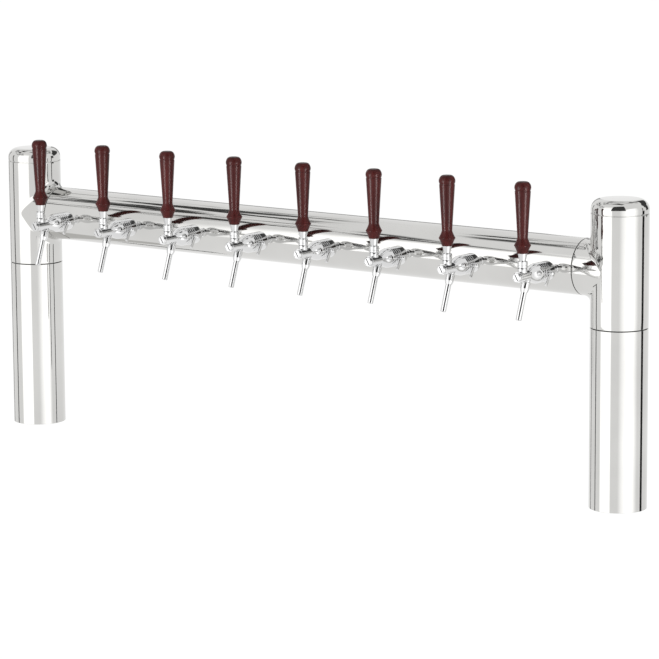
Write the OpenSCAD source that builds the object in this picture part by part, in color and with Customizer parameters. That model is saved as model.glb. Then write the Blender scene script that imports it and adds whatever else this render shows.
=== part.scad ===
// Bridge beer tower: two columns carry a bridge tube with a row of compensator taps.
// Millimetres. X runs along the bridge, the taps point to -Y and Z is up.
// The origin lies on the counter, midway between the two columns.

/* [Columns and bridge] */
// Distance between the column axes
column_spacing = 1320; // [1305:5:1440]
// Outer diameter of the columns, tees and caps
column_d = 100; // [99.8:0.1:106]
// Outer diameter of the bridge tube and the tee stubs
bridge_d = 98.8; // [92:0.1:99]
// Wall of the columns, tees, caps and bridge tube
tube_wall = 2; // [1.5:0.1:3]
// Height of the bridge axis above the counter
bridge_z = 411.5; // [335:0.5:600]
// Half the height of a tee
tee_half = 98; // [85:1:130]
// How far a tee stub stands out from its column
stub_reach = 16; // [10:0.5:20]
// Height of a cap above its seam
cap_h = 24; // [20:0.5:40]
// Radius of the rounded edge of a cap
cap_edge_r = 18; // [6:0.5:19]
// Length of the cap spigot inside the tee
cap_spigot = 14; // [6:1:30]
// Gap at the visible seams between tube sections
seam = 0.3; // [0.1:0.1:0.6]

/* [Sleeves and feet] */
// Length of the sleeves between columns and tees
sleeve_len = 60; // [30:1:70]
// Length of the sleeves between tees and bridge tube
bridge_sleeve_len = 32; // [20:1:36]
// Wall of the sleeves and of the cap spigots
sleeve_wall = 2.5; // [1.5:0.1:4]
// Radial gap between a sleeve, spigot or foot ring and its tube
sleeve_play = 0.1; // [0.05:0.05:0.2]
// Height of the foot rings
foot_h = 12; // [8:0.5:20]
// Bore of the foot rings, for the lines
foot_bore_d = 64; // [50:1:68]
// Circle of the foot bolts
foot_bolt_circle = 81; // [78:0.5:84]
// Tapping diameter of the foot bolt holes
foot_bolt_d = 8.5; // [5:0.5:10]
// Number of bolts in each foot
foot_bolts = 4; // [3:1:6]

/* [Tap row] */
// Number of taps
tap_count = 8; // [2:1:8]
// Distance between neighbouring taps
tap_pitch = 153.5; // [110:0.5:155]
// How far the row stands off the middle, towards the right column
row_shift = 25; // [-32:1:32]

/* [Tap body] */
// Diameter of the collar against the bridge tube
collar_d = 16; // [14.5:0.5:24]
// Thickness of the collar, measured on the tap axis
collar_h = 4.6; // [3:0.1:8]
// Diameter of the tap's neck
neck_d = 14.4; // [13.6:0.2:18]
// Straight length of the neck
neck_len = 2.5; // [1:0.5:3]
// Diameter of the ribbed compensator housing
housing_d = 34.5; // [32:0.5:40]
// Length of the rounded shoulder from neck to housing
shoulder_len = 21.5; // [18:0.5:23]
// Length of the full housing
barrel_len = 33; // [31:0.5:34]
// Number of grooves between the housing ribs
rib_grooves = 4; // [2:1:5]
// Distance between the grooves
rib_pitch = 5.5; // [3.5:0.1:6]
// From the foremost groove to the nose
rib_edge = 2; // [1:0.5:4]
// Width of a groove
rib_groove_w = 1.5; // [0.8:0.1:2]
// Depth of a groove
rib_groove_depth = 0.9; // [0.4:0.1:1.2]
// Length of the nose that tapers from the housing to the valve chamber
nose_len = 27.5; // [25:0.5:29]
// Diameter of the front valve chamber
chamber_d = 18.4; // [17:0.2:22]
// From the start of the chamber to the lever axis
lever_set = 12; // [10.5:0.5:13.5]
// From the lever axis to the front face of the chamber
front_len = 14.5; // [13:0.5:18]
// Diameter of the front plug's head
plug_d = 16.6; // [14.5:0.1:18]
// Thickness of the front plug's head
plug_head_h = 4.5; // [3:0.1:7]
// Thread diameter of the front plug
plug_thread_d = 13; // [12:0.1:13.6]
// Width of the screwdriver slots
slot_w = 1.8; // [1:0.1:2.5]
// Depth of the screwdriver slots
slot_depth = 1.4; // [0.6:0.1:2]
// From the start of the nose to the side screw
screw_set = 10; // [8:0.5:11]
// How far the side screw points below the horizontal, in degrees, or above it if negative
screw_drop = -10; // [-20:1:60]
// Head diameter of the side screw
screw_head_d = 6.4; // [5:0.2:7]
// Head height of the side screw
screw_head_h = 2.2; // [1.5:0.1:3]
// Thread diameter of the side screw
screw_thread_d = 3; // [2:0.1:3.5]
// Height of the boss under the side screw
screw_boss_h = 1.2; // [0.6:0.1:2]

/* [Tap inside] */
// Thread diameter of the shank
shank_d = 11; // [10:0.1:11.4]
// Bore of the shank and of the feed
shank_bore_d = 6.4; // [4:0.1:7]
// How far the shank reaches inside the bridge tube
shank_tail = 16; // [13:0.5:18]
// Depth of the shank's seat in the tap's neck
shank_seat = 8; // [5:0.5:10]
// From the shank's seat to the compensator bore
feed_len = 8; // [7:0.5:9]
// Size across flats of the lock nuts
lock_nut_af = 19; // [16:0.5:24]
// Thickness of the lock nuts with their saddles
lock_nut_h = 8; // [6:0.5:12]
// Bore of the compensator housing
compensator_bore_d = 23; // [22:0.2:24]
// Length of the compensator bore
compensator_bore_len = 37; // [35:0.5:38]
// Bore where the nose meets the valve bore
nose_bore_d = 15; // [13:0.2:16]
// Length of the tapered bore in the nose
nose_bore_len = 15; // [14:0.5:16]
// Valve bore of the chamber
valve_bore_d = 11.2; // [10.6:0.1:11.6]
// Length of the valve stem's sealing land
stem_land = 4; // [3:0.5:5]
// Diameter of the valve stem between its lands
stem_rod_d = 6; // [4:0.5:7]
// Thickness of the sealing rings and washers
seal_h = 1; // [0.6:0.1:1.4]
// Radial gap of shafts and pistons that run in a bore
run_play = 0.05; // [0.03:0.01:0.1]
// Radial gap of screwed and seated pieces
seat_play = 0.1; // [0.05:0.05:0.2]
// Free gap between pieces that move past each other
free_play = 0.35; // [0.3:0.05:0.45]

/* [Lever] */
// Height of the lever's ball centre above the tap axis
pivot_h = 11; // [10.5:0.1:12.5]
// How far the lever tilts forward, in degrees
pull_deg = 30; // [15:1:30]
// How far the lever tilts back, in degrees
push_deg = 12; // [4:1:12]
// Diameter of the lever's ball
ball_d = 12; // [11:0.1:12.4]
// Diameter of the boss and ball cap that hold the ball
boss_d = 16.4; // [15.8:0.1:17]
// Diameter of the pivot pins on the ball
pivot_pin_d = 4; // [3:0.1:4.6]
// Wall left in the boss outside the pivot pins
pivot_pin_wall = 0.7; // [0.5:0.1:1]
// Diameter of the lever's rod through the ball cap
lever_rod_d = 7; // [5:0.1:7.4]
// Diameter of the lever's finger
finger_d = 3.6; // [3:0.1:4]
// Diameter of the finger's round tip
finger_tip_d = 5; // [4.2:0.1:5.2]
// Outer diameter of the lever's collar
lever_collar_d = 17.5; // [17:0.1:19]
// Height of the collar's rim above the ball centre
lever_rim_h = 4.3; // [3.8:0.1:5]
// Height of the lever's collar
lever_collar_h = 10.2; // [7:0.1:14]
// Height of the groove above the collar's rim
collar_groove_at = 3.4; // [2:0.1:5]
// Width of the groove in the collar
collar_groove_w = 1.2; // [0.6:0.1:2]
// Depth of the groove in the collar
collar_groove_depth = 0.6; // [0.3:0.1:0.8]
// Height of the cone under the handle
cone_h = 13.5; // [8:0.5:20]
// Lower diameter of the cone
cone_low_d = 11; // [8:0.5:14]
// Upper diameter of the cone
cone_top_d = 16.4; // [12:0.1:18]
// Diameter of the stud that holds the handle
stud_d = 8; // [5:0.5:10]
// Length of the stud in the handle
stud_len = 25; // [15:1:50]

/* [Handle] */
// Length of the handle
handle_len = 121; // [116:1:150]
// Diameter at the foot of the handle
handle_foot_d = 18.2; // [16.4:0.2:22]
// Diameter of the sharp ridge
handle_ridge_d = 29; // [24:0.5:36]
// Height of the ridge above the foot
handle_ridge_at = 13.5; // [9:0.5:18]
// Diameter of the neck above the ridge
handle_neck_d = 17.8; // [14:0.2:20]
// Height of the neck above the foot
handle_neck_at = 27; // [22:0.5:34]
// Diameter at the top of the taper
handle_top_d = 27; // [22:0.5:28]
// Height of the groove under the head, above the foot
handle_groove_at = 105; // [90:0.5:108]
// Width of the groove under the head
handle_groove_w = 2; // [1:0.1:3]
// Depth of the groove under the head
handle_groove_depth = 0.7; // [0.3:0.1:1]
// Diameter of the domed head
handle_head_d = 28.5; // [24:0.5:32]
// Diameter of the flat on top of the head
handle_tip_d = 13; // [8:0.5:16]

/* [Flow control] */
// From the neck's start to the axis of the flow lever
flow_set = 43.5; // [41:0.5:44]
// How far the flow lever turns each way, in degrees
flow_deg = 45; // [20:1:45]
// How far the flow lever leans forward at rest, in degrees
flow_lean = 34; // [0:1:40]
// Throw of the crank that moves the compensator
crank_r = 3; // [2:0.1:3.1]
// Diameter of the crank pin
crank_pin_d = 3; // [2:0.1:3.2]
// Thickness of the crank disc
crank_disc_h = 1.6; // [1:0.1:1.8]
// Diameter of the flow lever's shaft
flow_shaft_d = 5; // [3.5:0.1:5.5]
// Diameter of the gland round the flow lever's shaft
gland_d = 9; // [7:0.5:12]
// How far the gland stands out of the housing
gland_h = 1.5; // [0.8:0.1:4]
// Length of the compensator's guide land
guide_len = 9; // [8:0.5:10]
// Length of the compensator's cone
compensator_cone_len = 11; // [8:0.5:12]
// Length of the compensator's tail
compensator_tail_len = 5.5; // [3:0.5:7]
// Number of flow flutes round the compensator
flutes = 6; // [3:1:8]
// Radius of a flow flute
flute_r = 1.8; // [1:0.1:2]
// Thickness of the flow lever's paddle
paddle_h = 2.8; // [2:0.1:4]
// Length of the paddle from its axis
paddle_len = 21; // [12:0.5:28]
// Diameter of the paddle round its axis
paddle_hub_d = 8; // [6.5:0.1:10]
// Diameter of the paddle's round end
paddle_end_d = 6.4; // [4:0.1:8]
// Diameter of the ball on the end of the flow lever
knob_d = 8.8; // [7:0.1:12]

/* [Spout] */
// How far behind the lever axis the spout axis starts
spout_set = 15; // [14.5:0.5:15.5]
// How far the spout leans forward, in degrees
spout_lean = 20; // [10:1:24]
// Length from the tap axis to the end of the spout
spout_len = 78; // [50:1:110]
// Outer diameter of the spout
spout_d = 10; // [9.4:0.1:10.4]
// Wall of the spout
spout_wall = 1.4; // [0.8:0.1:2]
// From the tap axis to the end of the spout boss
spout_boss_len = 21.5; // [16:0.5:22]
// Thread diameter of the spout boss
spout_boss_d = 10.4; // [9.4:0.1:11]
// Outer diameter of the socket above the spout nut
spout_socket_d = 14; // [11:0.2:15]
// Height of the spout's flange
spout_flange_h = 2; // [1:0.1:3]
// Length of the spout nut
spout_nut_len = 17; // [15:0.5:20]
// Upper diameter of the spout nut
spout_nut_d = 15.6; // [14:0.1:17]
// Lower diameter of the spout nut
spout_nut_low_d = 12; // [11.2:0.1:13]
// Straight part of the spout nut
spout_nut_straight = 11; // [11:0.5:13]

/* [Beer lines] */
// Outer diameter of a beer line
line_d = 8; // [6.5:0.1:9]
// Wall of a beer line
line_wall = 1; // [0.6:0.1:1.4]
// How far a line is pushed into its shank
line_seat = 10; // [6:0.5:14]
// Bend radius at the columns
column_bend_r = 20; // [12:0.5:28]
// Distance between neighbouring lines
lane_step = 10; // [9.4:0.1:10.4]
// Straight lead from the shank to the first bend
line_lead = 2; // [0.5:0.5:4]
// Where the lines go down, outward from the column axis
line_drop_at = 22; // [18:0.5:23]
// Gap between the ends of the lines and the foot rings
line_end_gap = 3; // [2:0.5:20]

/* [Hidden] */
$fn = 64;
over = 1;
curve_steps = 8;

column_r = column_d / 2;
bridge_r = bridge_d / 2;
column_bore_r = column_r - tube_wall;
bridge_bore_r = bridge_r - tube_wall;
column_x = column_spacing / 2;
stub_end = column_r + stub_reach;
bridge_half = column_x - stub_end - seam;
tee_low_z = bridge_z - tee_half;
tee_top_z = bridge_z + tee_half;

// The sleeves in the bridge end short of the outermost lock nuts
row_end = (tap_count - 1) / 2 * tap_pitch + abs(row_shift) + lock_nut_af / cos(30) / 2;
sleeve_nut_gap = 1;
bridge_sleeve_half = min(bridge_sleeve_len / 2, bridge_half - row_end - sleeve_nut_gap);

// Distances from the bridge axis along a tap
neck_t = bridge_r + collar_h;
shoulder_t = neck_t + neck_len;
barrel_t = shoulder_t + shoulder_len;
nose_t = barrel_t + barrel_len;
chamber_t = nose_t + nose_len;
lever_t = chamber_t + lever_set;
front_t = lever_t + front_len;
seat_t = neck_t + shank_seat;
housing_bore_t = seat_t + feed_len;
nose_bore_t = housing_bore_t + compensator_bore_len;
valve_t = nose_bore_t + nose_bore_len;
screw_t = nose_t + screw_set;
flow_t = neck_t + flow_set;
spout_t = lever_t - spout_set;
tail_t = bridge_bore_r - shank_tail;

neck_r = neck_d / 2;
housing_r = housing_d / 2;
chamber_r = chamber_d / 2;
shank_r = shank_d / 2;
feed_r = shank_bore_d / 2;
compensator_bore_r = compensator_bore_d / 2;
nose_bore_r = nose_bore_d / 2;
valve_bore_r = valve_bore_d / 2;
plug_thread_r = plug_thread_d / 2;
boss_r = boss_d / 2;
ball_r = ball_d / 2;
rad = PI / 180;

// Lever and stem: the finger's tip carries the stem along by its own height below the ball
pull_stroke = pivot_h * pull_deg * rad;
push_stroke = pivot_h * push_deg * rad;
tip_lag = pull_stroke - pivot_h * sin(pull_deg);
tip_slot_half = finger_tip_d / 2 + tip_lag + free_play;
finger_slot_half = finger_tip_d / 2 + free_play;
rod_slot_half = lever_rod_d / 2 + free_play;
stem_r = valve_bore_r - run_play;
stem_front_top = min(stem_r, pivot_h - ball_r - free_play);
stem_relief = tip_slot_half + stem_front_top * tan(pull_deg);
stem_wall = 3.2;
stem_rear_gap = 2;
stem_rear_t = valve_t + stem_rear_gap;
stem_block_t = lever_t - tip_slot_half - stem_wall;
stem_front_t = lever_t + stem_relief;
plug_t = stem_front_t + push_stroke + free_play;
pivot_pin_half = boss_r - pivot_pin_wall;

// Flow lever and compensator
crank_rim = 0.1;
crank_disc_r = crank_r + crank_pin_d / 2 + crank_rim;
crank_disc_x = compensator_bore_r + free_play / 2;
crank_pocket_x = crank_disc_x + crank_disc_h + free_play;
gland_x = housing_r + gland_h;
paddle_x = gland_x + free_play;
knob_x = paddle_x + paddle_h + knob_d / 4;
crank_lag = crank_r * (flow_deg * rad - sin(flow_deg));
crank_slot_half = crank_pin_d / 2 + crank_lag + free_play;
compensator_r = compensator_bore_r - run_play;
nose_bore_slope = (compensator_bore_r - nose_bore_r) / nose_bore_len;
guide_t = flow_t - guide_len / 2;
cone_t = guide_t + guide_len;
cone_step = 0.55;
compensator_cone_r = compensator_r - cone_step;
compensator_tip_r = compensator_cone_r - compensator_cone_len * nose_bore_slope;
compensator_tail_r = compensator_r - compensator_tail_len;

// Lever above the ball
rim_z = pivot_h + lever_rim_h;
cone_z = rim_z + lever_collar_h;
handle_z = cone_z + cone_h;
cup_r = boss_r + free_play;

// Spout, measured along its own axis from the tap axis
spout_bore_r = spout_d / 2 - spout_wall;
spout_top = spout_boss_len + seal_h;
spout_nut_top = spout_boss_len - spout_nut_len / 2;
spout_flange_r = spout_boss_d / 2 + seat_play;
foot_hole_turn = 45;
slot_turn = -60;

// Side screw: head taper, thread and hole
screw_top_d = screw_head_d - screw_head_h / 2;
screw_thread_len = screw_thread_d;
screw_hole_len = screw_thread_len + over;

// Curves of the handle
ridge_power = 1.4;
taper_power = 1;
dome_share = 0.25;

// Lanes of the lines inside the bridge, spread evenly about its axis
lanes = ceil(tap_count / 2);
first_lane_y = -(lanes - 1) / 2 * lane_step;
line_bend_r = tail_t + first_lane_y - line_lead;

function tap_x(i) = row_shift + (i - (tap_count + 1) / 2) * tap_pitch;
function tap_side(i) = i <= tap_count / 2 ? -1 : 1;
function tap_order(i) = tap_side(i) < 0 ? i - 1 : tap_count - i;
function ease(u) = (1 - cos(180 * u)) / 2;
function nose_r_at(t) = housing_r + (chamber_r - housing_r) * ease((t - nose_t) / nose_len);
function arm_dir(a) = [-sin(a), cos(a)];
function arm_side(a) = [cos(a), sin(a)];

// Points of a smooth step in radius between two places along an axis
function eased(r0, r1, t0, t1) = [
    for (k = [0:curve_steps])
        [r0 + (r1 - r0) * ease(k / curve_steps), t0 + (t1 - t0) * k / curve_steps]
];

// Points of a curve in radius that starts flat and steepens by a power
function powered(r0, r1, t0, t1, p) = [
    for (k = [0:curve_steps])
        [r0 + (r1 - r0) * pow(k / curve_steps, p), t0 + (t1 - t0) * k / curve_steps]
];

function reversed(list) = [for (k = [len(list) - 1:-1:0]) list[k]];

module pair() {
    for (side = [-1, 1])
        translate([side * column_x, 0, 0])
            children();
}

module each_tap() {
    for (i = [1:tap_count])
        at_tap(i) children();
}

module at_tap(i) {
    translate([tap_x(i), 0, bridge_z]) children();
}

// Local Z points out of the bridge along the tap axis
module outward() {
    rotate([90, 0, 0]) children();
}

module at_lever() {
    translate([0, -lever_t, 0]) children();
}

module at_flow() {
    translate([0, -flow_t, 0]) rotate([0, 90, 0]) children();
}

module at_screw() {
    translate([0, -screw_t, 0]) rotate([0, 90 + screw_drop, 0]) children();
}

// Local Z points down the spout
module down_spout() {
    translate([0, -spout_t, 0]) rotate([180 - spout_lean, 0, 0]) children();
}

// A flat outline in Y and Z, given its thickness along X
module across(width) {
    rotate([90, 0, 90]) linear_extrude(width, center = true) children();
}

module ring(r_out, r_in, h) {
    difference() {
        cylinder(r = r_out, h = h);
        translate([0, 0, -over]) cylinder(r = r_in, h = h + 2 * over);
    }
}

module column(side) {
    color("gainsboro")
        translate([side * column_x, 0, 0])
            ring(column_r, column_bore_r, tee_low_z - seam);
}

module tee_half_solid(r_column, r_stub, extra) {
    translate([0, 0, -tee_half - extra]) cylinder(r = r_column, h = 2 * (tee_half + extra));
    rotate([0, 90, 0]) cylinder(r = r_stub, h = stub_end + extra);
}

module tee(side) {
    color("gainsboro")
        translate([side * column_x, 0, bridge_z])
            rotate([0, 0, side > 0 ? 180 : 0])
                difference() {
                    tee_half_solid(column_r, bridge_r, 0);
                    tee_half_solid(column_bore_r, bridge_bore_r, over);
                }
}

module cap_outline(r, h, edge_r) {
    square([r, h - edge_r]);
    square([r - edge_r, h]);
    translate([r - edge_r, h - edge_r]) intersection() {
        circle(r = edge_r);
        square(edge_r);
    }
}

module column_caps() {
    color("gainsboro")
        pair() translate([0, 0, tee_top_z + seam]) {
            rotate_extrude() difference() {
                cap_outline(column_r, cap_h, cap_edge_r);
                cap_outline(column_bore_r, cap_h - tube_wall, cap_edge_r - tube_wall);
            }
            translate([0, 0, -cap_spigot])
                ring(column_bore_r - sleeve_play, column_bore_r - sleeve_wall, cap_spigot);
            ring(column_r - tube_wall / 2, column_bore_r - sleeve_wall, tube_wall);
        }
}

module bridge_tube() {
    color("gainsboro")
        difference() {
            translate([-bridge_half, 0, bridge_z])
                rotate([0, 90, 0]) ring(bridge_r, bridge_bore_r, 2 * bridge_half);
            each_tap() outward() cylinder(r = shank_r + 2 * seat_play, h = bridge_r + over);
        }
}

module bridge_sleeves() {
    color("silver")
        for (side = [-1, 1])
            translate([side * (column_x - stub_end) - bridge_sleeve_half, 0, bridge_z])
                rotate([0, 90, 0])
                    ring(bridge_bore_r - sleeve_play, bridge_bore_r - sleeve_wall, 2 * bridge_sleeve_half);
}

module column_sleeves() {
    color("silver")
        pair() translate([0, 0, tee_low_z - sleeve_len / 2])
            ring(column_bore_r - sleeve_play, column_bore_r - sleeve_wall, sleeve_len);
}

module foot_rings() {
    color("silver")
        pair() difference() {
            ring(column_bore_r - sleeve_play, foot_bore_d / 2, foot_h);
            for (k = [0:foot_bolts - 1])
                rotate([0, 0, foot_hole_turn + k * 360 / foot_bolts])
                    translate([foot_bolt_circle / 2, 0, -over])
                        cylinder(d = foot_bolt_d, h = foot_h + 2 * over);
        }
}

module tap_shanks() {
    shank_len = seat_t - seal_h - tail_t;
    color("silver")
        each_tap() outward() translate([0, 0, tail_t])
            difference() {
                ring(shank_r, feed_r, shank_len);
                translate([0, 0, -over]) cylinder(d = line_d + 2 * seat_play, h = line_seat + over);
            }
}

module lock_nuts() {
    color("goldenrod")
        each_tap() intersection() {
            outward() translate([0, 0, bridge_bore_r - lock_nut_h])
                difference() {
                    cylinder(d = lock_nut_af / cos(30), h = lock_nut_h, $fn = 6);
                    translate([0, 0, -over]) cylinder(r = shank_r + seat_play, h = lock_nut_h + 2 * over);
                }
            rotate([0, 90, 0]) cylinder(r = bridge_bore_r - seat_play, h = lock_nut_af * 2, center = true);
        }
}

module shank_collars() {
    color("lightgray")
        each_tap() difference() {
            outward() translate([0, 0, bridge_bore_r])
                ring(collar_d / 2, shank_r + seat_play, neck_t - bridge_bore_r);
            rotate([0, 90, 0]) cylinder(r = bridge_r + seat_play / 2, h = collar_d * 2, center = true);
        }
}

function rib_t(j) = nose_t - rib_edge - rib_groove_w / 2 - (rib_grooves - 1 - j) * rib_pitch;

body_outline = concat(
    [[0, neck_t], [neck_r, neck_t]],
    eased(neck_r, housing_r, shoulder_t, barrel_t),
    [for (j = [0:rib_grooves - 1]) each [
        [housing_r, rib_t(j) - rib_groove_w / 2],
        [housing_r - rib_groove_depth, rib_t(j) - rib_groove_w / 2],
        [housing_r - rib_groove_depth, rib_t(j) + rib_groove_w / 2],
        [housing_r, rib_t(j) + rib_groove_w / 2]
    ]],
    eased(housing_r, chamber_r, nose_t, chamber_t),
    [[chamber_r, front_t], [0, front_t]]
);

bore_outline = [
    [0, neck_t - over],
    [shank_r + seat_play, neck_t - over],
    [shank_r + seat_play, seat_t],
    [feed_r, seat_t],
    [feed_r, housing_bore_t],
    [compensator_bore_r, housing_bore_t],
    [compensator_bore_r, nose_bore_t],
    [nose_bore_r, valve_t],
    [valve_bore_r, valve_t],
    [valve_bore_r, plug_t],
    [plug_thread_r, plug_t],
    [plug_thread_r, front_t + over],
    [0, front_t + over]
];

// Room in which the lever's finger swings below the ball
module finger_sweep() {
    across(2 * finger_slot_half) translate([0, pivot_h]) polygon([
        finger_slot_half * arm_side(pull_deg),
        finger_slot_half * arm_side(pull_deg) - pivot_h * arm_dir(pull_deg),
        -finger_slot_half * arm_side(-push_deg) - pivot_h * arm_dir(-push_deg),
        -finger_slot_half * arm_side(-push_deg)
    ]);
}

// Room in which the lever's rod swings above the ball
module rod_sweep() {
    across(2 * rod_slot_half) translate([0, pivot_h]) polygon([
        rod_slot_half * arm_side(-push_deg),
        rod_slot_half * arm_side(-push_deg) + boss_d * arm_dir(-push_deg),
        -rod_slot_half * arm_side(pull_deg) + boss_d * arm_dir(pull_deg),
        -rod_slot_half * arm_side(pull_deg)
    ]);
}

// The seat that carries the ball and its pivot pins
module ball_seat() {
    translate([0, 0, pivot_h]) {
        sphere(r = ball_r + run_play);
        rotate([0, 90, 0])
            cylinder(d = pivot_pin_d + 2 * run_play, h = 2 * (pivot_pin_half + seat_play), center = true);
    }
}

module tap_bodies() {
    screw_face = nose_r_at(screw_t) + screw_boss_h;
    color("lightgray")
        each_tap() difference() {
            union() {
                outward() rotate_extrude() polygon(body_outline);
                at_lever() cylinder(r = boss_r, h = pivot_h);
                down_spout() cylinder(d = spout_boss_d, h = spout_boss_len);
                down_spout() cylinder(d = spout_socket_d, h = spout_nut_top - free_play);
                at_flow() cylinder(d = gland_d, h = gland_x);
                at_screw() cylinder(d = screw_head_d + 2 * screw_boss_h, h = screw_face);
            }
            outward() rotate_extrude() polygon(bore_outline);
            at_lever() {
                ball_seat();
                finger_sweep();
            }
            down_spout() cylinder(r = spout_bore_r, h = spout_boss_len + over);
            at_flow() {
                cylinder(r = crank_disc_r + free_play, h = crank_pocket_x);
                cylinder(d = flow_shaft_d + 2 * run_play, h = gland_x + over);
            }
            at_screw() translate([0, 0, screw_face - screw_hole_len])
                cylinder(d = screw_thread_d + 2 * seat_play, h = screw_hole_len + over);
        }
}

module ball_caps() {
    color("lightgray")
        each_tap() at_lever() difference() {
            translate([0, 0, pivot_h]) sphere(r = boss_r);
            translate([-boss_d, -boss_d, pivot_h - 2 * boss_d]) cube(2 * boss_d);
            ball_seat();
            rod_sweep();
        }
}

module front_plugs() {
    plug_r = plug_d / 2;
    edge = plug_head_h / 4;
    groove_r = plug_thread_r - seat_play - seal_h;
    groove_t = (plug_t + front_t) / 2;
    color("lightgray")
        each_tap() outward() difference() {
            rotate_extrude() polygon([
                [0, plug_t + seat_play],
                [plug_thread_r - seat_play, plug_t + seat_play],
                [plug_thread_r - seat_play, groove_t - seal_h / 2],
                [groove_r, groove_t - seal_h / 2],
                [groove_r, groove_t + seal_h / 2],
                [plug_thread_r - seat_play, groove_t + seal_h / 2],
                [plug_thread_r - seat_play, front_t],
                [plug_r, front_t],
                [plug_r, front_t + plug_head_h - edge],
                [plug_r - edge, front_t + plug_head_h],
                [0, front_t + plug_head_h]
            ]);
            rotate([0, 0, slot_turn])
                translate([-plug_d, -slot_w / 2, front_t + plug_head_h - slot_depth])
                    cube([2 * plug_d, slot_w, slot_depth + over]);
        }
}

module side_screws() {
    screw_face = nose_r_at(screw_t) + screw_boss_h;
    color("lightgray")
        each_tap() at_screw() translate([0, 0, screw_face]) difference() {
            union() {
                cylinder(d1 = screw_head_d, d2 = screw_top_d, h = screw_head_h);
                translate([0, 0, -screw_thread_len]) cylinder(d = screw_thread_d, h = screw_thread_len);
            }
            translate([-screw_head_d, -slot_w / 4, screw_head_h - slot_depth / 2])
                cube([2 * screw_head_d, slot_w / 2, slot_depth]);
        }
}

module spout_nuts() {
    nut_top = spout_nut_top;
    taper_h = spout_nut_len - spout_nut_straight;
    color("lightgray")
        each_tap() down_spout() difference() {
            union() {
                translate([0, 0, nut_top]) cylinder(d = spout_nut_d, h = spout_nut_straight);
                translate([0, 0, nut_top + spout_nut_straight])
                    cylinder(d1 = spout_nut_d, d2 = spout_nut_low_d, h = taper_h);
            }
            cylinder(d = spout_boss_d + 2 * seat_play, h = spout_boss_len);
            cylinder(r = spout_flange_r + seat_play, h = spout_top + spout_flange_h + seat_play);
            cylinder(d = spout_d + 2 * seat_play, h = spout_len);
            rotate([spout_lean, 0, 0]) rotate([90, 0, 0])
                cylinder(r = chamber_r + seat_play, h = 2 * lever_t, center = true);
        }
}

module spouts() {
    color("lightgray")
        each_tap() down_spout() difference() {
            union() {
                translate([0, 0, spout_top]) cylinder(r = spout_flange_r, h = spout_flange_h);
                translate([0, 0, spout_top]) cylinder(d = spout_d, h = spout_len - spout_top);
            }
            cylinder(r = spout_bore_r, h = spout_len + over);
        }
}

module seals() {
    groove_r = plug_thread_r - seat_play - seal_h;
    groove_t = (plug_t + front_t) / 2;
    color("dimgray")
        each_tap() {
            outward() translate([0, 0, groove_t])
                rotate_extrude() translate([groove_r + seal_h / 2 + seat_play / 2, 0])
                    circle(d = seal_h - seat_play);
            outward() translate([0, 0, seat_t - seal_h]) ring(shank_r, feed_r, seal_h);
            down_spout() translate([0, 0, spout_boss_len]) ring(spout_boss_d / 2, spout_bore_r, seal_h);
        }
}

module line_section() {
    difference() {
        circle(d = line_d);
        circle(d = line_d - 2 * line_wall);
    }
}

// One line: out of its shank, along the bridge, then down the column
module beer_line(x, order) {
    start_y = -tail_t - line_seat;
    lane_y = first_lane_y + order * lane_step;
    drop_x = column_x + line_drop_at;
    run_end = drop_x - column_bend_r;
    drop_top = bridge_z - column_bend_r;
    line_end = foot_h + line_end_gap;
    translate([x, start_y, bridge_z]) rotate([-90, 0, 0])
        linear_extrude(lane_y - line_bend_r - start_y) line_section();
    translate([x + line_bend_r, lane_y - line_bend_r, bridge_z]) rotate([0, 0, 90])
        rotate_extrude(angle = 90) translate([line_bend_r, 0]) line_section();
    translate([x + line_bend_r, lane_y, bridge_z]) rotate([0, 90, 0])
        linear_extrude(run_end - x - line_bend_r) line_section();
    translate([run_end, lane_y, drop_top]) rotate([90, 0, 0])
        rotate_extrude(angle = 90) translate([column_bend_r, 0]) line_section();
    translate([drop_x, lane_y, line_end])
        linear_extrude(drop_top - line_end) line_section();
}

module beer_lines() {
    color("silver")
        for (i = [1:tap_count])
            mirror([tap_side(i) < 0 ? 1 : 0, 0, 0])
                beer_line(tap_side(i) * tap_x(i), tap_order(i));
}

module tap_handle(i) {
    foot_r = handle_foot_d / 2;
    ridge_r = handle_ridge_d / 2;
    handle_neck_r = handle_neck_d / 2;
    top_r = handle_top_d / 2;
    head_r = handle_head_d / 2;
    tip_r = handle_tip_d / 2;
    groove_r = top_r - handle_groove_depth;
    groove_top = handle_groove_at + handle_groove_w;
    dome_at = groove_top + (handle_len - groove_top) * dome_share;
    dome = [for (k = [0:curve_steps]) [
        tip_r + (head_r - tip_r) * cos(90 * k / curve_steps),
        dome_at + (handle_len - dome_at) * sin(90 * k / curve_steps)
    ]];
    color([0.32, 0.1, 0.08])
        at_tap(i) at_lever() translate([0, 0, handle_z]) difference() {
            rotate_extrude() polygon(concat(
                [[0, 0]],
                powered(foot_r, ridge_r, 0, handle_ridge_at, ridge_power),
                reversed(powered(handle_neck_r, ridge_r, handle_neck_at, handle_ridge_at, ridge_power)),
                powered(handle_neck_r, top_r, handle_neck_at, handle_groove_at, taper_power),
                [[groove_r, handle_groove_at], [groove_r, groove_top], [top_r, groove_top]],
                dome,
                [[0, handle_len]]
            ));
            translate([0, 0, -over]) cylinder(d = stud_d + 2 * seat_play, h = stud_len + 2 * over);
        }
}

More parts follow.
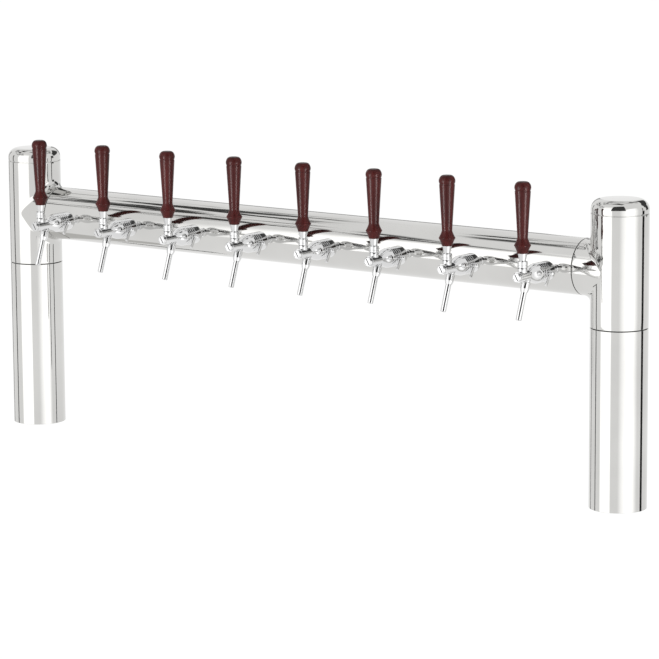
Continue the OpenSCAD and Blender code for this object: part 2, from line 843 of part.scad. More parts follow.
module tap_lever(i) {
    collar_r = lever_collar_d / 2;
    groove_z = rim_z + collar_groove_at;
    color("lightgray")
        at_tap(i) at_lever() {
            difference() {
                union() {
                    translate([0, 0, rim_z]) cylinder(r = collar_r, h = lever_collar_h);
                    translate([0, 0, cone_z]) cylinder(d1 = cone_low_d, d2 = cone_top_d, h = cone_h);
                }
                translate([0, 0, pivot_h]) sphere(r = cup_r);
                translate([0, 0, groove_z])
                    ring(collar_r + over, collar_r - collar_groove_depth, collar_groove_w);
            }
            translate([0, 0, pivot_h]) {
                sphere(r = ball_r);
                rotate([0, 90, 0]) cylinder(d = pivot_pin_d, h = 2 * pivot_pin_half, center = true);
                cylinder(d = lever_rod_d, h = cup_r + over);
            }
            cylinder(d = finger_d, h = pivot_h);
            sphere(d = finger_tip_d);
            translate([0, 0, handle_z]) cylinder(d = stud_d, h = stud_len);
        }
}

module tap_valve_stem(i) {
    rod_r = stem_rod_d / 2;
    color("darkgoldenrod")
        at_tap(i) difference() {
            outward() rotate_extrude() polygon([
                [0, stem_rear_t],
                [stem_r, stem_rear_t],
                [stem_r, stem_rear_t + stem_land],
                [rod_r, stem_rear_t + stem_land],
                [rod_r, stem_block_t],
                [stem_r, stem_block_t],
                [stem_r, stem_front_t],
                [0, stem_front_t]
            ]);
            at_lever() across(2 * finger_slot_half) polygon([
                [tip_slot_half, -valve_bore_d],
                [tip_slot_half, 0],
                [tip_slot_half + valve_bore_d * tan(pull_deg), valve_bore_d],
                [-tip_slot_half - valve_bore_d * tan(pull_deg), valve_bore_d],
                [-tip_slot_half, 0],
                [-tip_slot_half, -valve_bore_d]
            ]);
        }
}

module paddle_outline() {
    hub_r = paddle_hub_d / 2;
    end_r = paddle_end_d / 2;
    circle(r = hub_r);
    translate([0, -paddle_len]) circle(r = end_r);
    polygon([[-hub_r / 2, 0], [hub_r / 2, 0], [end_r, -paddle_len], [-end_r, -paddle_len]]);
}

module tap_flow_lever(i) {
    color("lightgray")
        at_tap(i) translate([0, -flow_t, 0]) {
            rotate([0, 90, 0]) {
                translate([0, 0, crank_disc_x]) cylinder(r = crank_disc_r, h = crank_disc_h);
                translate([0, 0, crank_disc_x]) cylinder(d = flow_shaft_d, h = knob_x - crank_disc_x);
                translate([0, 0, knob_x]) sphere(d = knob_d);
                translate([crank_r, 0, crank_disc_x - crank_r]) cylinder(d = crank_pin_d, h = crank_r + over / 2);
            }
            translate([paddle_x + paddle_h / 2, 0, 0])
                rotate([-flow_lean, 0, 0])
                    across(paddle_h) paddle_outline();
        }
}

module tap_compensator(i) {
    color("whitesmoke")
        at_tap(i) difference() {
            outward() rotate_extrude() polygon([
                [0, guide_t - compensator_tail_len],
                [compensator_tail_r, guide_t - compensator_tail_len],
                [compensator_r, guide_t],
                [compensator_r, cone_t],
                [compensator_cone_r, cone_t],
                [compensator_tip_r, cone_t + compensator_cone_len],
                [0, cone_t + compensator_cone_len]
            ]);
            for (k = [0:flutes - 1])
                outward() rotate([0, 0, (k + 0.5) * 360 / flutes])
                    translate([compensator_r, 0, guide_t - compensator_tail_len])
                        cylinder(r = flute_r, h = guide_len + 2 * compensator_tail_len);
            translate([crank_disc_x - crank_r - free_play, -flow_t - crank_slot_half, -crank_r - crank_slot_half])
                cube([crank_r + compensator_r, 2 * crank_slot_half, 2 * crank_slot_half + crank_r / 2]);
        }
}

column(-1);  // left_column
column(1);  // right_column
tee(-1);  // left_tee
tee(1);  // right_tee
column_caps();
bridge_tube();
bridge_sleeves();
column_sleeves();
foot_rings();
tap_shanks();
lock_nuts();
shank_collars();
tap_bodies();
ball_caps();
front_plugs();
side_screws();
spout_nuts();
spouts();
seals();
beer_lines();
for (i = [1:tap_count]) {
    tap_handle(i);
    tap_lever(i);
    tap_valve_stem(i);
    tap_flow_lever(i);
    tap_compensator(i);
}
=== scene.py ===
import bpy
import bmesh
from math import atan2, cos, pi, radians, sin, sqrt, tan
from mathutils import Matrix, Vector


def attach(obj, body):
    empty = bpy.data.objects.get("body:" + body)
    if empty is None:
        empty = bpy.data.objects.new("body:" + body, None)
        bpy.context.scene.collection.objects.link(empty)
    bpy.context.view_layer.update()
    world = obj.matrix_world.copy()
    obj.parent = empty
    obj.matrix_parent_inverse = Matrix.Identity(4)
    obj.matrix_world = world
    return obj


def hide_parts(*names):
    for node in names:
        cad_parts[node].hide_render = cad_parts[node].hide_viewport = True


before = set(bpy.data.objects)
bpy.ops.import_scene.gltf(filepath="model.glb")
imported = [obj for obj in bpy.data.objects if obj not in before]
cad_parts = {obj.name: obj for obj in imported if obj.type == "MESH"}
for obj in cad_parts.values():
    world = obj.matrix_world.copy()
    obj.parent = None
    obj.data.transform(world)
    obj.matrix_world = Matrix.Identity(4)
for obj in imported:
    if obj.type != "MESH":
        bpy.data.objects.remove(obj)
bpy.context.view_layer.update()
scene = bpy.context.scene
mm = 0.001
print("frame loaded:", len(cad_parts), "nodes")

# Shared places

tower = {
    "columnX": 660 * mm,  # from the middle to each column
    "columnR": 50 * mm,
    "bridgeR": 49.4 * mm,
    "wall": 2 * mm,
    "bridgeZ": 411.5 * mm,
    "teeHalf": 98 * mm,  # tee height above and below the bridge
    "stubEnd": 66 * mm,  # from the column's axis
    "seam": 0.3 * mm,
    "edge": 0.35 * mm,  # rounding of the cut tube ends
    "boreEdge": 0.2 * mm,
    "trim": 0.7 * mm,  # taken off each tube end, so that the seams read as lines
    "columnSteps": 192,  # facets round a column
    "bridgeSteps": 256,
}
row = {
    "count": 8,
    "pitch": 153.5 * mm,
    "shift": 25 * mm,
}
tap = {
    "neckOut": 54 * mm,  # distances out from the bridge's axis
    "shoulderOut": 56.5 * mm,
    "barrelOut": 78 * mm,
    "flowOut": 97.5 * mm,
    "noseOut": 111 * mm,
    "screwOut": 121 * mm,
    "spoutOut": 135.5 * mm,
    "chamberOut": 138.5 * mm,
    "leverOut": 150.5 * mm,
    "frontOut": 165 * mm,
    "plugOut": 169.5 * mm,
    "pivotUp": 11 * mm,
    "spoutLean": radians(20),
    "screwDrop": radians(-10),
    "flowLean": radians(34),
}
firstTap = row["shift"] - (row["count"] - 1) / 2 * row["pitch"]
tapAxis = Matrix.Translation((0, 0, tower["bridgeZ"])) @ Matrix.Rotation(pi / 2, 4, "X")
leverAxis = Matrix.Translation((0, -tap["leverOut"], tower["bridgeZ"]))
flowAxis = Matrix.Translation((0, -tap["flowOut"], tower["bridgeZ"]))
spoutAxis = Matrix.Translation((0, -tap["spoutOut"], tower["bridgeZ"])) @ Matrix.Rotation(
    pi - tap["spoutLean"], 4, "X")
screwAxis = Matrix.Translation((0, -tap["screwOut"], tower["bridgeZ"])) @ Matrix.Rotation(
    pi / 2 + tap["screwDrop"], 4, "Y")
sideways = Matrix.Rotation(pi / 2, 4, "Y")
pivotAxis = leverAxis @ Matrix.Translation((0, 0, tap["pivotUp"])) @ sideways

# Shaping tools

rounding = {
    "leastTurn": 0.25,  # radians, flatter corners stay as they are
    "reach": 0.42,  # most of a side that one corner takes
    "longSide": 3.5,  # in cuts, from here a point keeps the side flat
    "flatFrom": 1.6,
    "arc": 6,  # points round a corner
}
onAxis = 0.0001 * mm
cutEdge = radians(32)  # sharper edges of a carved piece stay crisp


def soften(points, size, loop=False, arc=rounding["arc"]):  # rounds the corners of an outline
    rounded = []
    last = len(points) - 1
    for k, point in enumerate(points):
        here = Vector(point[:2])
        bend = point[2] if len(point) > 2 else size
        if not loop and k in (0, last):
            rounded.append(here)
            continue
        back = Vector(points[k - 1][:2]) - here
        ahead = Vector(points[0 if k == last else k + 1][:2]) - here
        turn = pi - back.angle(ahead)
        if turn < rounding["leastTurn"] or bend <= 0:
            rounded.append(here)
            continue
        cut = min(bend * tan(turn / 2), rounding["reach"] * back.length, rounding["reach"] * ahead.length)
        start = here + back.normalized() * cut
        end = here + ahead.normalized() * cut
        if back.length > rounding["longSide"] * cut:
            rounded.append(here + back.normalized() * cut * rounding["flatFrom"])
        for j in range(arc):
            u = j / (arc - 1)
            rounded.append(start * (1 - u) ** 2 + here * 2 * u * (1 - u) + end * u ** 2)
        if ahead.length > rounding["longSide"] * cut:
            rounded.append(here + ahead.normalized() * cut * rounding["flatFrom"])
    return rounded


def turned(shape, outline, place, steps, loop=False):  # spins an outline round its axis
    rings = []
    for point in outline:
        radius, along = point[0], point[1]
        if radius < onAxis:
            rings.append([shape.verts.new(place @ Vector((0, 0, along)))] * steps)
        else:
            rings.append([shape.verts.new(place @ Vector((
                radius * cos(2 * pi * k / steps), radius * sin(2 * pi * k / steps), along)))
                for k in range(steps)])
    pairs = list(zip(rings, rings[1:]))
    if loop:
        pairs.append((rings[-1], rings[0]))
    for near, far in pairs:
        for k in range(steps):
            n = (k + 1) % steps
            corners = []
            for corner in (near[k], near[n], far[n], far[k]):
                if corner not in corners:
                    corners.append(corner)
            if len(corners) > 2:
                shape.faces.new(corners)


def rod(radius, start, end):  # outline of a plain solid round
    return [(0, start), (radius, start), (radius, end), (0, end)]


def quarter(count):  # even angles over a quarter turn
    return [pi / 2 * k / count for k in range(count + 1)]


def eased(r0, r1, t0, t1, count=20):  # a smooth step between two radii
    return [(r0 + (r1 - r0) * (1 - cos(pi * k / count)) / 2, t0 + (t1 - t0) * k / count, 0)
            for k in range(count + 1)]


def powered(r0, r1, t0, t1, power, count=20):  # starts flat and steepens
    return [(r0 + (r1 - r0) * (k / count) ** power, t0 + (t1 - t0) * k / count, 0)
            for k in range(count + 1)]


def ballArc(radius, middle, low, high, count=16):  # part of a ball's outline, angles from the axis
    return [(radius * sin(low + (high - low) * k / count),
             middle + radius * cos(low + (high - low) * k / count), 0) for k in range(count + 1)]


def block(shape, size, place):  # a box used only for cutting slots
    made = bmesh.ops.create_cube(shape, size=1)
    scaled = place @ Matrix.Diagonal((*size, 1))
    bmesh.ops.transform(shape, matrix=scaled, verts=made["verts"])


def meshOf(name, shape):
    bmesh.ops.recalc_face_normals(shape, faces=shape.faces)
    for face in shape.faces:
        face.smooth = True
    mesh = bpy.data.meshes.new(name)
    shape.to_mesh(mesh)
    shape.free()
    return mesh


def standing(name, mesh):
    thing = bpy.data.objects.new(name, mesh)
    scene.collection.objects.link(thing)
    return thing


def settled(thing):  # bakes the modifiers into the mesh
    bpy.context.view_layer.update()
    depsgraph = bpy.context.evaluated_depsgraph_get()
    mesh = bpy.data.meshes.new_from_object(thing.evaluated_get(depsgraph), depsgraph=depsgraph)
    thing.modifiers.clear()
    thing.data = mesh
    return thing


def carved(thing, cutShape):  # cuts a shape out of a piece
    cutter = standing(thing.name + "Cutter", meshOf(thing.name + "Cutter", cutShape))
    step = thing.modifiers.new("carve", "BOOLEAN")
    step.operation = "DIFFERENCE"
    step.solver = "EXACT"
    step.object = cutter
    settled(thing)
    bpy.data.objects.remove(cutter)
    thing.data.set_sharp_from_angle(angle=cutEdge)
    return thing


def finished(thing, finish, body, slot, *nodes):
    thing.data.materials.clear()
    thing.data.materials.append(finish)
    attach(thing, body)
    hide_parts(*nodes)
    return thing


# Finishes


def newFinish(name):
    finish = bpy.data.materials.new(name)
    finish.use_nodes = True
    nodes, links = finish.node_tree.nodes, finish.node_tree.links
    shader = next(n for n in nodes if n.type == "BSDF_PRINCIPLED")
    place = nodes.new("ShaderNodeTexCoord").outputs["Object"]
    return finish, nodes, links, shader, place


def noiseOf(nodes, links, place, stretch, detail, warp=0.0):
    mapping = nodes.new("ShaderNodeMapping")
    mapping.inputs["Scale"].default_value = stretch
    links.new(place, mapping.inputs["Vector"])
    noise = nodes.new("ShaderNodeTexNoise")
    noise.inputs["Scale"].default_value = 1.0
    noise.inputs["Detail"].default_value = detail
    noise.inputs["Distortion"].default_value = warp
    links.new(mapping.outputs["Vector"], noise.inputs["Vector"])
    return noise.outputs["Fac"]


def ranged(nodes, links, factor, low, high, fromLow=0.3, fromHigh=0.7):
    span = nodes.new("ShaderNodeMapRange")
    span.inputs["From Min"].default_value = fromLow
    span.inputs["From Max"].default_value = fromHigh
    span.inputs["To Min"].default_value = low
    span.inputs["To Max"].default_value = high
    links.new(factor, span.inputs["Value"])
    return span.outputs["Result"]


def mixed(nodes, links, factor, first, second):
    mix = nodes.new("ShaderNodeMix")
    mix.data_type = "RGBA"
    links.new(factor, mix.inputs["Factor"])
    for socket, colour in (("A", first), ("B", second)):
        target = [s for s in mix.inputs if s.name == socket and s.type == "RGBA"][0]
        if isinstance(colour, tuple):
            target.default_value = (*colour, 1)
        else:
            links.new(colour, target)
    return [s for s in mix.outputs if s.type == "RGBA"][0]


def bumped(nodes, links, shader, height, strength, distance):
    bump = nodes.new("ShaderNodeBump")
    bump.inputs["Strength"].default_value = strength
    bump.inputs["Distance"].default_value = distance
    links.new(height, bump.inputs["Height"])
    links.new(bump.outputs["Normal"], shader.inputs["Normal"])


metal = {
    "cloud": (9, 9, 9),  # slow drift of the tone
    "cloudDetail": 3,
    "markDetail": 5,
    "relief": 0.12,
}


def metalFinish(name, look, marks):
    finish, nodes, links, shader, place = newFinish(name)
    cloud = noiseOf(nodes, links, place, metal["cloud"], metal["cloudDetail"])
    lines = noiseOf(nodes, links, place, marks, metal["markDetail"])
    links.new(mixed(nodes, links, ranged(nodes, links, cloud, 0, 1), look["dark"], look["light"]),
              shader.inputs["Base Color"])
    links.new(ranged(nodes, links, lines, *look["gloss"]), shader.inputs["Roughness"])
    bumped(nodes, links, shader, lines, metal["relief"], look["markDepth"])
    shader.inputs["Metallic"].default_value = 1
    return finish


steel = {
    "dark": (0.60, 0.596, 0.582),
    "light": (0.655, 0.651, 0.636),
    "gloss": (0.03, 0.075),
    "markDepth": 0.004 * mm,
    "columnMarks": (30, 30, 1400),  # fine polishing lines
    "tubeMarks": (1400, 30, 30),
}
chrome = {
    "dark": (0.66, 0.662, 0.665),
    "light": (0.74, 0.74, 0.738),
    "gloss": (0.05, 0.11),
    "markDepth": 0.01 * mm,
    "marks": (700, 260, 700),
}
spoutLook = dict(chrome, gloss=(0.10, 0.13), markDepth=0.0025 * mm, marks=(300, 300, 60))
inner = {
    "dark": (0.42, 0.42, 0.41),
    "light": (0.56, 0.56, 0.55),
    "gloss": (0.22, 0.38),
    "markDepth": 0.03 * mm,
    "marks": (500, 500, 900),
}
brass = {
    "dark": (0.50, 0.34, 0.13),
    "light": (0.66, 0.47, 0.20),
    "gloss": (0.16, 0.30),
    "markDepth": 0.02 * mm,
    "marks": (900, 900, 900),
}
columnSteel = metalFinish("columnSteel", steel, steel["columnMarks"])
tubeSteel = metalFinish("tubeSteel", steel, steel["tubeMarks"])
tapChrome = metalFinish("tapChrome", chrome, chrome["marks"])
spoutChrome = metalFinish("spoutChrome", spoutLook, spoutLook["marks"])
innerSteel = metalFinish("innerSteel", inner, inner["marks"])
brassTurned = metalFinish("brassTurned", brass, brass["marks"])

dull = {
    "grain": (900, 900, 900),
    "detail": 5,
    "relief": 0.3,
}


def dullFinish(name, look):
    finish, nodes, links, shader, place = newFinish(name)
    grain = noiseOf(nodes, links, place, dull["grain"], dull["detail"])
    links.new(mixed(nodes, links, ranged(nodes, links, grain, 0, 1), look["dark"], look["light"]),
              shader.inputs["Base Color"])
    links.new(ranged(nodes, links, grain, *look["rough"]), shader.inputs["Roughness"])
    bumped(nodes, links, shader, grain, dull["relief"], look["depth"])
    return finish


# near-black sleeves behind the seam gaps: painted shade, so the seams between tube ends read as dark lines
sleeve = {
    "dark": (0.010, 0.010, 0.010),
    "light": (0.03, 0.03, 0.03),
    "rough": (0.45, 0.6),
    "depth": 0.03 * mm,
}
rubber = {
    "dark": (0.012, 0.012, 0.013),
    "light": (0.03, 0.03, 0.032),
    "rough": (0.5, 0.75),
    "depth": 0.05 * mm,
}
plastic = {
    "dark": (0.60, 0.60, 0.57),
    "light": (0.72, 0.72, 0.69),
    "rough": (0.35, 0.5),
    "depth": 0.03 * mm,
}
seamShadeBlack = dullFinish("seamShadeBlack", sleeve)
sealRubber = dullFinish("sealRubber", rubber)
conePlastic = dullFinish("conePlastic", plastic)

wood = {
    "dark": (0.0170, 0.0031, 0.0029),
    "mid": (0.0410, 0.0072, 0.0067),
    "light": (0.0670, 0.0116, 0.0105),
    "grain": (260, 260, 16),  # fine fibres that run along the handle
    "grainDetail": 6,
    "grainWarp": 0.2,
    "rings": (95, 95, 7),
    "ringDetail": 3,
    "ringWarp": 0.8,
    "contrast": (0.35, 0.65),  # closer limits make a crisper figure
    "fibreShare": (0.25, 0.85),
    "fibreDepth": 0.04 * mm,
    "relief": 0.15,
    "gloss": (0.28, 0.40),
    "shine": 0.12,
    "lacquer": 0.03,
    "lacquerGloss": 0.12,
}
handleWood, nodes, links, shader, place = newFinish("handleWood")
rings = noiseOf(nodes, links, place, wood["rings"], wood["ringDetail"], wood["ringWarp"])
fibres = noiseOf(nodes, links, place, wood["grain"], wood["grainDetail"], wood["grainWarp"])
figure = ranged(nodes, links, rings, 0, 1, *wood["contrast"])
strands = ranged(nodes, links, fibres, *wood["fibreShare"], *wood["contrast"])
heart = mixed(nodes, links, figure, wood["dark"], wood["light"])
links.new(mixed(nodes, links, strands, heart, wood["mid"]), shader.inputs["Base Color"])
links.new(ranged(nodes, links, fibres, *wood["gloss"]), shader.inputs["Roughness"])
bumped(nodes, links, shader, fibres, wood["relief"], wood["fibreDepth"])
shader.inputs["Specular IOR Level"].default_value = wood["shine"]
shader.inputs["Coat Weight"].default_value = wood["lacquer"]
shader.inputs["Coat Roughness"].default_value = wood["lacquerGloss"]
print("finishes mixed")

# Columns, caps and bridge tube

column = {
    "height": 313.2 * mm,
    "footEdge": 0.4 * mm,
}
cap = {
    "height": 24 * mm,
    "round": 18 * mm,
    "edge": 0.5 * mm,
    "lipEdge": 0.1 * mm,
    "spigot": 14 * mm,
    "spigotWall": 3 * mm,
    "spigotPlay": 0.2 * mm,
    "crownSteps": 24,
    "hollowSteps": 12,
}
outerR, boreR = tower["columnR"], tower["columnR"] - tower["wall"]
columnTop = column["height"] - tower["trim"]
for side, name in ((-1, "left"), (1, "right")):
    shape = bmesh.new()
    outline = soften([
        (boreR, 0, tower["boreEdge"]),
        (outerR, 0, column["footEdge"]),
        (outerR, columnTop, tower["edge"]),
        (boreR, columnTop, tower["boreEdge"]),
    ], tower["edge"], True)
    place = Matrix.Translation((side * tower["columnX"], 0, 0))
    turned(shape, outline, place, tower["columnSteps"], True)
    thing = standing(name + "Column", meshOf(name + "Column", shape))
    finished(thing, columnSteel, "tower", "polished_steel", name + "_column")

capFoot = tower["bridgeZ"] + tower["teeHalf"] + tower["seam"]
innerRound = cap["round"] - tower["wall"]
spigotR = boreR - cap["spigotPlay"]
spigotBore = boreR - cap["spigotWall"]
crown = [(outerR - cap["round"] + cap["round"] * cos(a),
          cap["height"] - cap["round"] + cap["round"] * sin(a), 0) for a in quarter(cap["crownSteps"])]
hollow = [(spigotBore - innerRound + innerRound * sin(a),
           cap["height"] - tower["wall"] - innerRound + innerRound * cos(a), 0)
          for a in quarter(cap["hollowSteps"])]
outline = soften(
    [(0, cap["height"] - tower["wall"])] + hollow + [
        (spigotBore, -cap["spigot"]),
        (spigotR, -cap["spigot"]),
        (spigotR, tower["trim"], cap["lipEdge"]),
        (outerR, tower["trim"], tower["edge"]),
    ] + crown + [(0, cap["height"])], cap["edge"])
shape = bmesh.new()
for side in (-1, 1):
    place = Matrix.Translation((side * tower["columnX"], 0, capFoot))
    turned(shape, outline, place, tower["columnSteps"])
thing = standing("columnCaps", meshOf("columnCaps", shape))
finished(thing, columnSteel, "tower", "polished_steel", "column_caps")

bridge = {
    "half": 593.7 * mm,
}
tubeR, tubeBore = tower["bridgeR"], tower["bridgeR"] - tower["wall"]
bridgeEnd = bridge["half"] - tower["trim"]
outline = soften([
    (tubeBore, -bridgeEnd, tower["boreEdge"]),
    (tubeR, -bridgeEnd),
    (tubeR, bridgeEnd),
    (tubeBore, bridgeEnd, tower["boreEdge"]),
], tower["edge"], True)
shape = bmesh.new()
turned(shape, outline, Matrix.Translation((0, 0, tower["bridgeZ"])) @ sideways, tower["bridgeSteps"], True)
thing = standing("bridgeTube", meshOf("bridgeTube", shape))
finished(thing, tubeSteel, "tower", "polished_steel", "bridge_tube")
print("columns, caps and bridge tube turned")

# Tees, with the drawn fillet between column and stub

tee = {
    "fillet": 15 * mm,
    "around": 160,  # steps around the stub
    "back": 96,  # steps around the rest of the column
    "rows": 6,
    "bendRows": 12,
    "stubRows": 5,
    "rimRows": 4,
    "join": 0.002 * mm,  # nearer points become one
}


def rimRows(end, edge):  # rounded rim of a tube end, as steps inward and outward
    if not edge:
        return [(0, end)]
    return [(edge * (1 - cos(a)), end - edge + edge * sin(a)) for a in quarter(tee["rimRows"])]


def teeSkin(shape, columnR, stubR, bend, edge, flip):
    around = tee["around"]
    half, end = tower["teeHalf"] - tower["trim"], tower["stubEnd"] - tower["trim"]

    def put(x, y, z):
        return shape.verts.new((flip * x, y, z))

    def net(lines, closed):
        pairs = list(zip(lines, lines[1:]))
        if closed:
            pairs.append((lines[-1], lines[0]))
        for first, second in pairs:
            for k in range(len(first) - 1):
                shape.faces.new((first[k], first[k + 1], second[k + 1], second[k]))

    def upright(angle, low, high, sign):  # one line up the column, with its rounded rim
        rim = rimRows(high, edge)
        line = [put(columnR * cos(angle), columnR * sin(angle),
                    sign * (low + (rim[0][1] - low) * k / tee["rows"])) for k in range(tee["rows"])]
        for inward, z in rim:
            line.append(put((columnR - inward) * cos(angle), (columnR - inward) * sin(angle), sign * z))
        return line

    stubLines, bendLines, upper, lower = [], [], [], []
    for k in range(around):
        t = 2 * pi * k / around - pi / 2
        y, z = (stubR + bend) * sin(t), (stubR + bend) * cos(t)
        x = sqrt((columnR + bend) ** 2 - y ** 2)
        share = columnR / (columnR + bend)
        onColumn = Vector((x * share, y * share, z))
        onStub = Vector((x, y * stubR / (stubR + bend), z * stubR / (stubR + bend)))
        ball = Vector((x, y, z))
        a, b = (onColumn - ball).normalized(), (onStub - ball).normalized()
        sweep = a.angle(b)
        line = []
        for j in range(tee["bendRows"] + 1):
            u = j / tee["bendRows"]
            point = ball + (a * sin((1 - u) * sweep) + b * sin(u * sweep)) / sin(sweep) * bend
            line.append(put(*point))
        bendLines.append(line)
        rim = rimRows(end, edge)
        line = [put(x + (rim[0][1] - x) * j / tee["stubRows"], stubR * sin(t), stubR * cos(t))
                for j in range(tee["stubRows"])]
        for inward, far in rim:
            line.append(put(far, (stubR - inward) * sin(t), (stubR - inward) * cos(t)))
        stubLines.append(line)
        angle = atan2(onColumn.y, onColumn.x)
        if k <= around // 2:
            upper.append(upright(angle, max(z, 0), half, 1))
        if k >= around // 2 or k == 0:
            lower.append(upright(angle, max(-z, 0), half, -1))
    lower.append(lower.pop(0))
    net(bendLines, True)
    net(stubLines, True)
    net(upper, False)
    net(lower, False)
    sideAngle = atan2(stubR + bend, sqrt((columnR + bend) ** 2 - (stubR + bend) ** 2))
    turns = [sideAngle + (2 * pi - 2 * sideAngle) * k / tee["back"] for k in range(tee["back"] + 1)]
    net([upright(angle, 0, half, 1) for angle in turns], False)
    net([upright(angle, 0, half, -1) for angle in turns], False)


def rimJoin(shape):  # closes the ring between outer and inner skin at each open end
    bmesh.ops.remove_doubles(shape, verts=shape.verts, dist=tee["join"])
    loose = [e for e in shape.edges if len(e.link_faces) == 1]
    groups = {}
    for e in loose:
        middle = (e.verts[0].co + e.verts[1].co) / 2
        if abs(middle.z) > tower["teeHalf"] - 2 * tower["trim"]:
            groups.setdefault("top" if middle.z > 0 else "bottom", []).append(e)
        else:
            groups.setdefault("stub", []).append(e)
    for edges in groups.values():
        bmesh.ops.bridge_loops(shape, edges=edges)


for side, name in ((-1, "left"), (1, "right")):
    shape = bmesh.new()
    teeSkin(shape, tower["columnR"], tower["bridgeR"], tee["fillet"], tower["edge"], -side)
    teeSkin(shape, boreR, tubeBore, tee["fillet"] + tower["wall"], 0, -side)
    rimJoin(shape)
    bmesh.ops.translate(shape, vec=(side * tower["columnX"], 0, tower["bridgeZ"]), verts=shape.verts)
    thing = standing(name + "Tee", meshOf(name + "Tee", shape))
    finished(thing, columnSteel, "tower", "polished_steel", name + "_tee")
print("tees drawn")

# The row that repeats each fixed tap piece along the bridge


def rowTree():
    tree = bpy.data.node_groups.new("tapRow", "GeometryNodeTree")
    face = tree.interface
    face.new_socket("Tap Piece", in_out="INPUT", socket_type="NodeSocketGeometry")
    face.new_socket("Tap Count", in_out="INPUT", socket_type="NodeSocketInt")
    face.new_socket("Tap Pitch", in_out="INPUT", socket_type="NodeSocketFloat")
    face.new_socket("First Tap", in_out="INPUT", socket_type="NodeSocketFloat")
    face.new_socket("Finish", in_out="INPUT", socket_type="NodeSocketMaterial")
    face.new_socket("Tap Row", in_out="OUTPUT", socket_type="NodeSocketGeometry")
    nodes, links = tree.nodes, tree.links
    given = nodes.new("NodeGroupInput")
    start = nodes.new("ShaderNodeCombineXYZ")
    stride = nodes.new("ShaderNodeCombineXYZ")
    line = nodes.new("GeometryNodeMeshLine")
    line.mode = "OFFSET"
    copies = nodes.new("GeometryNodeInstanceOnPoints")
    real = nodes.new("GeometryNodeRealizeInstances")
    paint = nodes.new("GeometryNodeSetMaterial")
    result = nodes.new("NodeGroupOutput")
    links.new(given.outputs["First Tap"], start.inputs["X"])
    links.new(given.outputs["Tap Pitch"], stride.inputs["X"])
    links.new(given.outputs["Tap Count"], line.inputs["Count"])
    links.new(start.outputs["Vector"], line.inputs["Start Location"])
    links.new(stride.outputs["Vector"], line.inputs["Offset"])
    links.new(line.outputs["Mesh"], copies.inputs["Points"])
    links.new(given.outputs["Tap Piece"], copies.inputs["Instance"])
    links.new(copies.outputs["Instances"], real.inputs["Geometry"])
    links.new(real.outputs["Geometry"], paint.inputs["Geometry"])
    links.new(given.outputs["Finish"], paint.inputs["Material"])
    links.new(paint.outputs["Geometry"], result.inputs["Tap Row"])
    return tree


tapRow = rowTree()


def repeated(thing, node, finish=tapChrome):
    step = thing.modifiers.new("row", "NODES")
    step.node_group = tapRow
    values = {"Tap Count": row["count"], "Tap Pitch": row["pitch"], "First Tap": firstTap, "Finish": finish}
    for socket in tapRow.interface.items_tree:
        if socket.in_out == "INPUT" and socket.name in values:
            step[socket.identifier] = values[socket.name]
    settled(thing)
    finished(thing, finish, "tower", "tap_chrome", node)


def ringGroove(radius, middle, width, depth):
    return [(radius, middle - width / 2), (radius - depth, middle - width / 2),
            (radius - depth, middle + width / 2), (radius, middle + width / 2)]


collar = {
    "r": 8 * mm,
    "inside": 1.2 * mm,  # how far it starts inside the tube's wall
    "edge": 0.6 * mm,
    "footEdge": 0.1 * mm,
    "steps": 64,
}
collarFoot = tubeR - collar["inside"]
shape = bmesh.new()
turned(shape, soften([
    (0, collarFoot),
    (collar["r"], collarFoot, collar["footEdge"]),
    (collar["r"], tap["neckOut"]),
    (0, tap["neckOut"]),
], collar["edge"]), tapAxis, collar["steps"])
repeated(standing("shankCollars", meshOf("shankCollars", shape)), "shank_collars")

housing = {
    "neckR": 7.2 * mm,
    "r": 17.25 * mm,
    "chamberR": 9.2 * mm,
    "edge": 0.3 * mm,
    "edgePoints": 4,
    "steps": 72,
    "grooves": 4,
    "groovePitch": 5.5 * mm,
    "grooveEdge": 2 * mm,  # from the last groove to the nose
    "grooveWidth": 1.5 * mm,
    "grooveDepth": 0.9 * mm,
    "bossR": 8.2 * mm,
    "bossLow": 6.5 * mm,  # starts inside the chamber's wall
    "bossSteps": 64,
    "glandR": 4.5 * mm,
    "glandIn": 15.2 * mm,
    "glandOut": 18.75 * mm,
    "screwBossR": 4.4 * mm,
    "screwBossFlare": 0.6 * mm,
    "screwBossIn": 13 * mm,
    "screwBossOut": 16.1 * mm,
    "smallEdge": 0.4 * mm,
    "smallSteps": 40,
    "socketR": 7 * mm,
    "socketSeat": 8 * mm,  # radius where the socket starts, inside the chamber's wall
    "socketStraight": 12 * mm,
    "socketBend": (0.12 * mm, 12.5 * mm),  # inward and along, on the rounded rim
    "socketRim": 0.4 * mm,
    "socketEnd": 12.65 * mm,
    "socketSteps": 64,
}


def spoutSocket(shape):  # a short tube that follows the chamber's round at its seat
    lean, steps = tap["spoutLean"], housing["socketSteps"]
    rounds = []
    for sink, along in ((0, None), (0, housing["socketStraight"]), housing["socketBend"],
                        (housing["socketRim"], housing["socketEnd"])):
        ring = []
        for k in range(steps):
            x, y = [(housing["socketR"] - sink) * turn(2 * pi * k / steps) for turn in (cos, sin)]
            seat = (sqrt(housing["socketSeat"] ** 2 - x ** 2) + y * sin(lean)) / cos(lean)
            ring.append(shape.verts.new(spoutAxis @ Vector((x, y, seat if along is None else along))))
        rounds.append(ring)
    for near, far in zip(rounds, rounds[1:]):
        for k in range(steps):
            shape.faces.new((near[k], near[k - 1], far[k - 1], far[k]))
    for ring, along in ((rounds[0], housing["socketSeat"] / cos(lean)), (rounds[-1], housing["socketEnd"])):
        middle = shape.verts.new(spoutAxis @ Vector((0, 0, along)))
        for k in range(steps):
            shape.faces.new((ring[k - 1], ring[k], middle))


